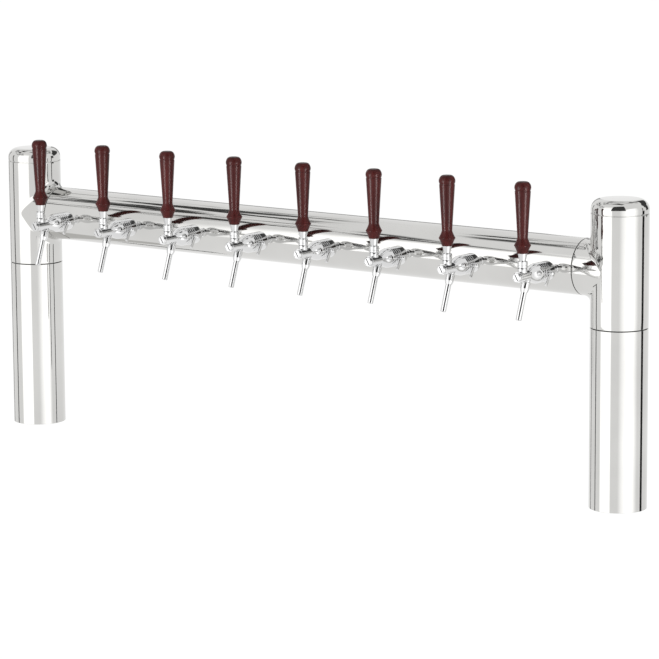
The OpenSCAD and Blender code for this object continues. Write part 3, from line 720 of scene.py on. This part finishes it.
outline = [(0, tap["neckOut"]), (housing["neckR"], tap["neckOut"])]
outline += eased(housing["neckR"], housing["r"], tap["shoulderOut"], tap["barrelOut"])
lastGroove = tap["noseOut"] - housing["grooveEdge"] - housing["grooveWidth"] / 2
for j in reversed(range(housing["grooves"])):
    outline += ringGroove(housing["r"], lastGroove - j * housing["groovePitch"], housing["grooveWidth"],
                          housing["grooveDepth"])
outline += eased(housing["r"], housing["chamberR"], tap["noseOut"], tap["chamberOut"])
outline += [(housing["chamberR"], tap["frontOut"]), (0, tap["frontOut"])]
shape = bmesh.new()
turned(shape, soften(outline, housing["edge"], arc=housing["edgePoints"]), tapAxis, housing["steps"])
turned(shape, soften(rod(housing["bossR"], housing["bossLow"], tap["pivotUp"]), housing["edge"]),
       leverAxis, housing["bossSteps"])
turned(shape, soften(rod(housing["glandR"], housing["glandIn"], housing["glandOut"]), housing["smallEdge"]),
       flowAxis @ sideways, housing["smallSteps"])
turned(shape, soften([
    (0, housing["screwBossIn"]),
    (housing["screwBossR"] + housing["screwBossFlare"], housing["screwBossIn"]),
    (housing["screwBossR"], housing["screwBossOut"]),
    (0, housing["screwBossOut"]),
], housing["smallEdge"]), screwAxis, housing["smallSteps"])
spoutSocket(shape)
repeated(standing("tapBodies", meshOf("tapBodies", shape)), "tap_bodies")

ballCap = {
    "r": 8.2 * mm,
    "rows": 20,
    "seatR": 6.25 * mm,
    "seatRows": 12,
    "edge": 0.1 * mm,
    "steps": 80,
    "slotHalf": 3.85 * mm,
    "slotFront": 7.2 * mm,
    "slotBack": 5.6 * mm,
    "slotHeight": 12 * mm,
    "slotUp": 8.5 * mm,  # from the pivot to the slot's middle
    "pinHoleR": 2.1 * mm,
    "pinHoleHalf": 7.7 * mm,
    "pinHoleSteps": 32,
}
outline = ballArc(ballCap["r"], tap["pivotUp"], 0, pi / 2, ballCap["rows"])
outline += ballArc(ballCap["seatR"], tap["pivotUp"], pi / 2, 0, ballCap["seatRows"])
shape = bmesh.new()
turned(shape, soften(outline, ballCap["edge"]), leverAxis, ballCap["steps"])
cut = bmesh.new()
block(cut, (2 * ballCap["slotHalf"], ballCap["slotFront"] + ballCap["slotBack"], ballCap["slotHeight"]),
      leverAxis @ Matrix.Translation((0, (ballCap["slotBack"] - ballCap["slotFront"]) / 2,
                                      tap["pivotUp"] + ballCap["slotUp"])))
turned(cut, rod(ballCap["pinHoleR"], -ballCap["pinHoleHalf"], ballCap["pinHoleHalf"]), pivotAxis,
       ballCap["pinHoleSteps"])
repeated(carved(standing("ballCaps", meshOf("ballCaps", shape)), cut), "ball_caps")

plug = {
    "r": 8.3 * mm,
    "edge": 1.1 * mm,
    "round": 0.3 * mm,
    "ringR": 6.1 * mm,  # fine turned line round the face
    "ringWidth": 0.6 * mm,
    "ringDepth": 0.5 * mm,
    "ringEdge": 0.1 * mm,
    "slotWidth": 1.8 * mm,
    "slotDepth": 1.4 * mm,
    "slotTurn": radians(-60),
    "steps": 80,
}
ringOuter, ringFloor = plug["ringR"] + plug["ringWidth"], tap["plugOut"] - plug["ringDepth"]
shape = bmesh.new()
turned(shape, soften([
    (0, tap["frontOut"]),
    (plug["r"], tap["frontOut"]),
    (plug["r"], tap["plugOut"] - plug["edge"]),
    (plug["r"] - plug["edge"], tap["plugOut"]),
    (ringOuter, tap["plugOut"], plug["ringEdge"]),
    (ringOuter, ringFloor, 0),
    (plug["ringR"], ringFloor, 0),
    (plug["ringR"], tap["plugOut"], plug["ringEdge"]),
    (0, tap["plugOut"]),
], plug["round"]), tapAxis, plug["steps"])
cut = bmesh.new()
block(cut, (2 * plug["ringR"], plug["slotWidth"], 2 * plug["slotDepth"]),
      tapAxis @ Matrix.Translation((0, 0, tap["plugOut"])) @ Matrix.Rotation(plug["slotTurn"], 4, "Z"))
repeated(carved(standing("frontPlugs", meshOf("frontPlugs", shape)), cut), "front_plugs")

sideScrew = {
    "r": 3.2 * mm,
    "topR": 2.65 * mm,
    "foot": 16.1 * mm,
    "sunk": 0.5 * mm,
    "height": 2.2 * mm,
    "edge": 0.4 * mm,
    "footEdge": 0.1 * mm,
    "slotWidth": 0.9 * mm,
    "slotDepth": 0.7 * mm,
    "steps": 48,
}
screwFoot, screwTop = sideScrew["foot"] - sideScrew["sunk"], sideScrew["foot"] + sideScrew["height"]
shape = bmesh.new()
turned(shape, soften([
    (0, screwFoot),
    (sideScrew["r"], screwFoot, sideScrew["footEdge"]),
    (sideScrew["topR"], screwTop),
    (0, screwTop),
], sideScrew["edge"]), screwAxis, sideScrew["steps"])
cut = bmesh.new()
block(cut, (4 * sideScrew["r"], sideScrew["slotWidth"], 2 * sideScrew["slotDepth"]),
      screwAxis @ Matrix.Translation((0, 0, screwTop)))
repeated(carved(standing("sideScrews", meshOf("sideScrews", shape)), cut), "side_screws")

nut = {
    "r": 7.8 * mm,
    "lowR": 6 * mm,
    "top": 13 * mm,
    "straightEnd": 24 * mm,
    "low": 30 * mm,
    "edge": 0.5 * mm,
    "shoulder": 1.5 * mm,
    "steps": 80,
}
shape = bmesh.new()
turned(shape, soften([
    (0, nut["top"]),
    (nut["r"], nut["top"]),
    (nut["r"], nut["straightEnd"], nut["shoulder"]),
    (nut["lowR"], nut["low"]),
    (0, nut["low"]),
], nut["edge"]), spoutAxis, nut["steps"])
repeated(standing("spoutNuts", meshOf("spoutNuts", shape)), "spout_nuts", spoutChrome)

spout = {
    "r": 5 * mm,
    "boreR": 3.6 * mm,
    "top": 22.5 * mm,
    "end": 78 * mm,
    "lip": 0.45 * mm,
    "steps": 64,
}
shape = bmesh.new()
turned(shape, soften([
    (spout["boreR"], spout["top"]),
    (spout["r"], spout["top"]),
    (spout["r"], spout["end"]),
    (spout["boreR"], spout["end"]),
], spout["lip"], True), spoutAxis, spout["steps"], True)
repeated(standing("tapSpouts", meshOf("tapSpouts", shape)), "spouts", spoutChrome)
print("tap row repeated")

# Handles, levers and flow levers, one set per tap

lever = {
    "collarR": 8.75 * mm,
    "rim": 15.3 * mm,
    "collarTop": 25.5 * mm,
    "collarEdge": 0.6 * mm,
    "grooveAt": 19.3 * mm,
    "grooveWidth": 1.2 * mm,
    "grooveDepth": 0.6 * mm,
    "cupR": 8.55 * mm,
    "coneLowR": 5.5 * mm,
    "coneTopR": 8.2 * mm,
    "coneTop": 39 * mm,
    "edge": 0.25 * mm,
    "steps": 80,
    "tipR": 2.5 * mm,
    "tipTurn": 2.16,  # radians of the tip's round, from its lowest point
    "tipRows": 9,
    "fingerR": 1.8 * mm,
    "fingerLow": 2 * mm,
    "fingerTop": 5 * mm,
    "ballR": 5.85 * mm,  # a touch under the seat, clear of the stem at full tilt
    "ballFrom": 0.3,  # radians of the ball's round, from its lowest point
    "ballTo": 2.5,
    "ballRows": 22,
    "rodR": 3.5 * mm,
    "rodLow": 17 * mm,
    "rodTop": 20.5 * mm,
    "rodSteps": 48,
    "pinR": 2 * mm,
    "pinHalf": 7.5 * mm,
    "pinSteps": 32,
}
handle = {
    "foot": 39 * mm,
    "length": 121 * mm,
    "footR": 9.1 * mm,
    "ridgeR": 14.5 * mm,
    "ridgeAt": 13.5 * mm,
    "ridgePower": 1.4,
    "neckR": 8.9 * mm,
    "neckAt": 27 * mm,
    "topR": 13.5 * mm,
    "taperPower": 1,
    "taperEnd": 0.6 * mm,  # short of the groove
    "taperSteps": 32,
    "grooveAt": 105 * mm,
    "grooveWidth": 2 * mm,
    "grooveDepth": 0.7 * mm,
    "headR": 14.25 * mm,
    "tipR": 6.5 * mm,
    "domeShare": 0.25,
    "domeSteps": 24,
    "edge": 0.3 * mm,
    "steps": 96,
}
flow = {
    "paddleX": 19.1 * mm,
    "thick": 2.8 * mm,
    "hubR": 4 * mm,
    "endR": 3.2 * mm,
    "length": 21 * mm,
    "edge": 0.5 * mm,
    "edgeSteps": 4,
    "roundSteps": 10,
    "bladeSteps": 14,
    "crisp": radians(40),
    "shaftR": 2.5 * mm,
    "shaftIn": 12 * mm,
    "shaftSteps": 40,
    "knobX": 24.1 * mm,
    "knobR": 4.4 * mm,
    "knobRows": 28,
    "knobSteps": 56,
}


def leverShape():
    shape = bmesh.new()
    rimUp = lever["rim"] - tap["pivotUp"]
    rimAngle = atan2(sqrt(lever["cupR"] ** 2 - rimUp ** 2), rimUp)
    outline = ballArc(lever["cupR"], tap["pivotUp"], 0, rimAngle)
    outline += [(lever["collarR"], lever["rim"])]
    outline += ringGroove(lever["collarR"], lever["grooveAt"], lever["grooveWidth"], lever["grooveDepth"])
    outline += [
        (lever["collarR"], lever["collarTop"], lever["collarEdge"]),
        (lever["coneLowR"], lever["collarTop"]),
        (lever["coneTopR"], lever["coneTop"]),
        (0, lever["coneTop"]),
    ]
    turned(shape, soften(outline, lever["edge"]), leverAxis, lever["steps"])
    finger = ballArc(lever["tipR"], 0, pi, pi - lever["tipTurn"], lever["tipRows"])
    finger += [(lever["fingerR"], lever["fingerLow"]), (lever["fingerR"], lever["fingerTop"])]
    finger += ballArc(lever["ballR"], tap["pivotUp"], pi - lever["ballFrom"], pi - lever["ballTo"],
                      lever["ballRows"])
    finger += [(lever["rodR"], lever["rodLow"]), (lever["rodR"], lever["rodTop"]), (0, lever["rodTop"])]
    turned(shape, finger, leverAxis, lever["rodSteps"])
    turned(shape, rod(lever["pinR"], -lever["pinHalf"], lever["pinHalf"]), pivotAxis, lever["pinSteps"])
    return shape


def handleShape():
    shape = bmesh.new()
    neckAt, ridgeAt, grooveAt = handle["neckAt"], handle["ridgeAt"], handle["grooveAt"]
    grooveTop, grooveR = grooveAt + handle["grooveWidth"], handle["topR"] - handle["grooveDepth"]
    domeAt = grooveTop + (handle["length"] - grooveTop) * handle["domeShare"]
    outline = [(0, 0), (handle["footR"], 0)]
    outline += powered(handle["footR"], handle["ridgeR"], 0, ridgeAt, handle["ridgePower"])[1:]
    outline += powered(handle["neckR"], handle["ridgeR"], neckAt, ridgeAt, handle["ridgePower"])[-2:0:-1]
    outline += powered(handle["neckR"], handle["topR"], neckAt, grooveAt - handle["taperEnd"],
                       handle["taperPower"], handle["taperSteps"])
    outline += [(handle["topR"], grooveAt), (grooveR, grooveAt), (grooveR, grooveTop),
                (handle["topR"], grooveTop)]
    outline += [(handle["tipR"] + (handle["headR"] - handle["tipR"]) * cos(a),
                 domeAt + (handle["length"] - domeAt) * sin(a), 0) for a in quarter(handle["domeSteps"])]
    outline += [(0, handle["length"])]
    place = leverAxis @ Matrix.Translation((0, 0, handle["foot"]))
    turned(shape, soften(outline, handle["edge"]), place, handle["steps"])
    return shape


def paddleEdge(inset, x):  # the paddle's outline, a hub and an end joined by a straight blade
    hub, end = flow["hubR"] - inset, flow["endR"] - inset
    turns = quarter(flow["roundSteps"])
    places = [-hub * cos(a) for a in turns[:-1]]
    places += [flow["length"] * k / flow["bladeSteps"] for k in range(flow["bladeSteps"] + 1)]
    places += [flow["length"] + end * sin(a) for a in turns[1:]]
    halves = []
    for d in places:
        atHub = sqrt(max(hub ** 2 - d ** 2, 0))
        blade = flow["hubR"] / 2 + (flow["endR"] - flow["hubR"] / 2) * d / flow["length"] - inset \
            if 0 <= d <= flow["length"] else 0
        atEnd = sqrt(max(end ** 2 - (d - flow["length"]) ** 2, 0))
        halves.append(max(atHub, blade, atEnd))
    lean = flowAxis @ Matrix.Rotation(-tap["flowLean"], 4, "X")
    right = [lean @ Vector((x, w, -d)) for w, d in zip(halves, places)]
    left = [lean @ Vector((x, -w, -d)) for w, d in zip(halves, places)]
    return right + left[-2:0:-1]


def flowShape():
    shape = bmesh.new()
    edge, near, far = flow["edge"], flow["paddleX"], flow["paddleX"] + flow["thick"]
    layers = [(edge * (1 - sin(a)), near + edge * (1 - cos(a))) for a in quarter(flow["edgeSteps"])]
    layers += [(inset, near + far - x) for inset, x in reversed(layers)]
    loops = [[shape.verts.new(p) for p in paddleEdge(inset, x)] for inset, x in layers]
    for first, second in zip(loops, loops[1:]):
        for k in range(len(first)):
            n = (k + 1) % len(first)
            shape.faces.new((first[k], first[n], second[n], second[k]))
    shape.faces.new(loops[0])
    shape.faces.new(loops[-1])
    shaftAxis = flowAxis @ sideways
    turned(shape, rod(flow["shaftR"], flow["shaftIn"], flow["knobX"]), shaftAxis, flow["shaftSteps"])
    knob = ballArc(flow["knobR"], flow["knobX"], 0, pi, flow["knobRows"])
    turned(shape, knob, shaftAxis, flow["knobSteps"])
    return shape


leverMesh = meshOf("lever", leverShape())
handleMesh = meshOf("handle", handleShape())
flowMesh = meshOf("flowLever", flowShape())
flowMesh.set_sharp_from_angle(angle=flow["crisp"])
tapNumbers = range(1, row["count"] + 1)
for i in tapNumbers:
    shift = Matrix.Translation((firstTap + (i - 1) * row["pitch"], 0, 0))
    for mesh, word, finish, slot, move in (
            (handleMesh, "handle", handleWood, "handle_wood", "pull"),
            (leverMesh, "lever", tapChrome, "tap_chrome", "pull"),
            (flowMesh, "flow_lever", tapChrome, "tap_chrome", "flow")):
        own = mesh.copy()
        own.transform(shift)
        thing = standing(f"tap{i}{word.title().replace('_', '')}", own)
        finished(thing, finish, f"tap_{i}_{move}", slot, f"tap_{i}_{word}")
print("handles, levers and flow levers hung")

# Pieces kept from the frame

kept = {
    innerSteel: ["foot_rings", "tap_shanks", "beer_lines"],
    # the sleeves carry the painted shade of the seams
    seamShadeBlack: ["bridge_sleeves", "column_sleeves"],
    brassTurned: ["lock_nuts"] + [f"tap_{i}_valve_stem" for i in tapNumbers],
    sealRubber: ["seals"],
    conePlastic: [f"tap_{i}_compensator" for i in tapNumbers],
}
for finish, names in kept.items():
    for name in names:
        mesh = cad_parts[name].data
        mesh.materials.clear()
        mesh.materials.append(finish)
print("inner pieces finished")

# Studio, in metres

studio = {
    "fill": 0.55,  # light level from all round
    "cardGlow": 0.75,  # how much brighter the cards are than the room
    "floorGlow": 0.80,
    "floorLevel": 1.14,
    "floorHalf": 40,
    "floorDrop": 0.4 * mm,
    "paper": (0.9, 0.9, 0.9, 1),
}


def panel(name, corners, finish):
    mesh = bpy.data.meshes.new(name)
    mesh.from_pydata(corners, [], [tuple(range(len(corners)))])
    mesh.materials.append(finish)
    thing = standing(name, mesh)
    return thing


def arcPoint(degrees, distance):  # a place round the tower, from its front towards the right
    return (distance * sin(radians(degrees)), -distance * cos(radians(degrees)))


def wall(start, end, low, high):  # corners of an upright panel
    return [(*start, low), (*end, low), (*end, high), (*start, high)]


def level(x0, y0, x1, y1, z):  # corners of a flat panel
    return [(x0, y0, z), (x1, y0, z), (x1, y1, z), (x0, y1, z)]


def bareFinish(name):
    finish = bpy.data.materials.new(name)
    finish.use_nodes = True
    nodes, links = finish.node_tree.nodes, finish.node_tree.links
    nodes.clear()
    out = nodes.new("ShaderNodeOutputMaterial")
    return finish, nodes, links, out.inputs["Surface"]


def glowFinish(name, spans, streaks=None):  # brighter or streaked in the spans, else level with the room
    finish, nodes, links, surface = bareFinish(name)
    place = nodes.new("ShaderNodeTexCoord").outputs["Object"]
    parts = nodes.new("ShaderNodeSeparateXYZ")
    links.new(place, parts.inputs["Vector"])
    amount = None
    if streaks:
        cloud = noiseOf(nodes, links, place, streaks["stretch"], streaks["detail"], streaks["warp"])
        amount = ranged(nodes, links, cloud, 0, 1, streaks["low"], streaks["high"])
    for axis, a, b, low, high in spans:
        span = nodes.new("ShaderNodeMapRange")
        span.interpolation_type = "SMOOTHSTEP"
        span.inputs["From Min"].default_value = a
        span.inputs["From Max"].default_value = b
        span.inputs["To Min"].default_value = low
        span.inputs["To Max"].default_value = high
        links.new(parts.outputs[axis], span.inputs["Value"])
        part = span.outputs["Result"]
        if amount is not None:
            times = nodes.new("ShaderNodeMath")
            times.operation = "MULTIPLY"
            links.new(amount, times.inputs[0])
            links.new(part, times.inputs[1])
            part = times.outputs["Value"]
        amount = part
    total = nodes.new("ShaderNodeMath")
    total.operation = "MULTIPLY_ADD"
    total.inputs[1].default_value = -streaks["depth"] if streaks else studio["cardGlow"]
    total.inputs[2].default_value = 1.0
    links.new(amount, total.inputs[0])
    glow = nodes.new("ShaderNodeEmission")
    links.new(total.outputs["Value"], glow.inputs["Strength"])
    links.new(glow.outputs["Emission"], surface)
    return finish


def shadeFinish(name, grey):  # cloth that only the mirrors see
    finish, nodes, links, surface = bareFinish(name)
    shade = nodes.new("ShaderNodeEmission")
    shade.inputs["Color"].default_value = (grey, grey, grey, 1)
    links.new(shade.outputs["Emission"], surface)
    return finish


floorPaper, nodes, links, surface = bareFinish("floorPaper")
paper = nodes.new("ShaderNodeBsdfDiffuse")
paper.inputs["Color"].default_value = studio["paper"]
shine = nodes.new("ShaderNodeEmission")
shine.inputs["Color"].default_value = (1, 1, 1, 1)
shine.inputs["Strength"].default_value = studio["floorLevel"]
ray = nodes.new("ShaderNodeLightPath")
share = nodes.new("ShaderNodeMath")
share.operation = "MULTIPLY"
share.inputs[1].default_value = studio["floorGlow"]
links.new(ray.outputs["Is Camera Ray"], share.inputs[0])
both = nodes.new("ShaderNodeMixShader")
links.new(share.outputs["Value"], both.inputs["Fac"])
links.new(paper.outputs["BSDF"], both.inputs[1])
links.new(shine.outputs["Emission"], both.inputs[2])
links.new(both.outputs["Shader"], surface)
far = studio["floorHalf"]
floor = panel("floor", level(-far, -far, far, far, -studio["floorDrop"]), floorPaper)
floor.visible_glossy = False

cards = {  # corners, then fades as axis, from, to, level at each
    "frontCard": (wall((-4.3, -4.6), (0.8, -4.6), -1.5, 6.5),
                  [("X", -4.3, -3.5, 0, 1), ("X", 0.5, 0.8, 1, 0), ("Z", 2.3, 6.5, 1, 0)]),
    "sideCard": (wall((2.6, -4.2), (2.6, 1.4), -1.8, 1.6),
                 [("Y", -3.7, -0.7, 0, 1), ("Y", -0.2, 0.8, 1, 0)]),
}
for name, (corners, fades) in cards.items():
    card = panel(name, corners, glowFinish(name.replace("Card", "Glow"), fades))
    card.visible_camera = False
    card.visible_shadow = False

streak = {
    "stretch": (2.2, 2.6, 1),
    "detail": 3,
    "warp": 0.8,
    "low": 0.50,  # closer limits make harder streaks
    "high": 0.57,
    "depth": 0.94,
    "up": 2,  # above the bridge
}
tapStreak = dict(streak, stretch=(1.5, 1.5, 1), low=0.44, high=0.54)
strip = {  # narrow dark lines along the columns
    "distance": 6,
    "low": -2.5,
    "high": 2.4,
    "places": ((-68, 2.6), (-105, 2.6), (126, 2.2)),  # degrees from the front, half width
}
wedge = {  # a dark panel behind, to the right
    "from": 132,
    "to": 150,
    "distance": 1.8,
    "low": 0.42,
    "high": 1.2,
}
shadeCloth, darkCloth, paleCloth = [shadeFinish(*pair) for pair in (
    ("shadeCloth", 0.06), ("darkCloth", 0.02), ("paleCloth", 0.42))]
leftFades = [("X", -1.46, -1.30, 1, 0), ("Y", -2.6, -1.9, 0, 1), ("Y", 0.7, 1.3, 1, 0)]
rightFades = [("X", -0.99, -0.91, 0, 1), ("Y", -0.5, -0.2, 0, 1), ("Y", 0.5, 0.9, 1, 0)]
overhead = tower["bridgeZ"] + streak["up"]
shades = [panel("sideShade", wall((1.067, 0.29), (1.007, 0.36), -0.2, 0.5), darkCloth)]
for degrees, half in strip["places"]:
    start, end = [arcPoint(degrees + turn, strip["distance"]) for turn in (-half, half)]
    shades.append(panel(f"shade{degrees}".replace("-", "m"), wall(start, end, strip["low"], strip["high"]),
                        shadeCloth))
wedgeStart, wedgeEnd = [arcPoint(wedge[key], wedge["distance"]) for key in ("from", "to")]
shades += [
    panel("roomShade", wall((0.5, -2.2), (1.95, -0.95), 0.85, 3.4), shadeCloth),
    panel("backShade", wall((-1.6, 6), (4.5, 6), 2.2, 5.6), shadeCloth),
    panel("leftStreaks", level(-3.2, -2.6, -1.2, 1.4, overhead),
          glowFinish("streakCloth", leftFades, streak)),
    panel("rightStreaks", level(-1.2, -0.5, -0.6, 0.9, overhead),
          glowFinish("streakCloth2", rightFades, streak)),
    panel("tapShade", level(-0.75, -0.3, 1, 1.8, overhead),
          glowFinish("tapCloth", [], tapStreak)),
    panel("wedgeShade", wall(wedgeStart, wedgeEnd, wedge["low"], wedge["high"]), shadeCloth),
    panel("edgeShade", wall((-3.2, 3), (-1.4, 3), 0.4, 1.5), paleCloth),
    panel("underShade", [(-1.66, 0.5, -1), (-1.38, 0.55, -1), (-1.38, 0.72, -1), (-1.66, 0.62, -1)],
          shadeCloth),
]
for cloth in shades:
    cloth.visible_camera = False
    cloth.visible_diffuse = False
    cloth.visible_shadow = False
    cloth.visible_transmission = False

handleLight = {
    "left": (-12, 2.6, 84),  # degrees from the front, distance, watts
    "right": (78, 2.6, 66),
    "width": 0.7,
    "height": 1.5,
    "up": 0.15,
    "aimUp": 0.55,
}
litHandles = bpy.data.collections.new("litHandles")
for i in tapNumbers:
    litHandles.objects.link(bpy.data.objects[f"tap{i}Handle"])
for name in ("left", "right"):
    degrees, distance, watts = handleLight[name]
    lamp = bpy.data.lights.new(name + "Lamp", "AREA")
    lamp.shape = "RECTANGLE"
    lamp.size, lamp.size_y, lamp.energy = handleLight["width"], handleLight["height"], watts
    light = bpy.data.objects.new(name + "Lamp", lamp)
    light.location = (*arcPoint(degrees, distance), handleLight["up"])
    toward = Vector((0, 0, handleLight["aimUp"])) - light.location
    light.rotation_euler = toward.to_track_quat("-Z", "Y").to_euler()
    light.light_linking.receiver_collection = litHandles
    light.visible_camera = False
    scene.collection.objects.link(light)

world = bpy.data.worlds.new("studio")
scene.world = world
world.use_nodes = True
nodes, links = world.node_tree.nodes, world.node_tree.links
nodes.clear()
ray = nodes.new("ShaderNodeLightPath")
seen = nodes.new("ShaderNodeMath")
seen.operation = "MAXIMUM"
links.new(ray.outputs["Is Camera Ray"], seen.inputs[0])
links.new(ray.outputs["Is Glossy Ray"], seen.inputs[1])
through = nodes.new("ShaderNodeMath")
through.operation = "MAXIMUM"
links.new(seen.outputs["Value"], through.inputs[0])
links.new(ray.outputs["Is Transmission Ray"], through.inputs[1])
strength = nodes.new("ShaderNodeMapRange")
strength.inputs["To Min"].default_value = studio["fill"]
strength.inputs["To Max"].default_value = 1.0
links.new(through.outputs["Value"], strength.inputs["Value"])
sky = nodes.new("ShaderNodeBackground")
sky.inputs["Color"].default_value = (1, 1, 1, 1)
links.new(strength.outputs["Result"], sky.inputs["Strength"])
out = nodes.new("ShaderNodeOutputWorld")
links.new(sky.outputs["Background"], out.inputs["Surface"])
scene.view_settings.view_transform = "Standard"
print("studio lit")

# Camera, from the photo's vanishing lines

view = {
    "place": (3.580117, -4.734349, 1.27956),
    "yaw": 0.641272,
    "pitch": 0.172838,
    "roll": -0.006352,
    "lens": 180.86,
    "sensor": 36,
    "reach": 100,
}
right = Vector((cos(view["yaw"]), sin(view["yaw"]), 0))
ahead = Vector((-sin(view["yaw"]), cos(view["yaw"]), 0))
down, upward = sin(view["pitch"]), Vector((0, 0, 1))
look = ahead * cos(view["pitch"]) - upward * down
lift = upward * cos(view["pitch"]) + ahead * down
sideLine = right * cos(view["roll"]) + lift * sin(view["roll"])
upLine = lift * cos(view["roll"]) - right * sin(view["roll"])
camera = bpy.data.objects.new("camera", bpy.data.cameras.new("camera"))
scene.collection.objects.link(camera)
camera.matrix_world = Matrix((
    (sideLine.x, upLine.x, -look.x, view["place"][0]),
    (sideLine.y, upLine.y, -look.y, view["place"][1]),
    (sideLine.z, upLine.z, -look.z, view["place"][2]),
    (0, 0, 0, 1)))
camera.data.sensor_width = view["sensor"]
camera.data.lens = view["lens"]
camera.data.clip_end = view["reach"]
scene.camera = camera
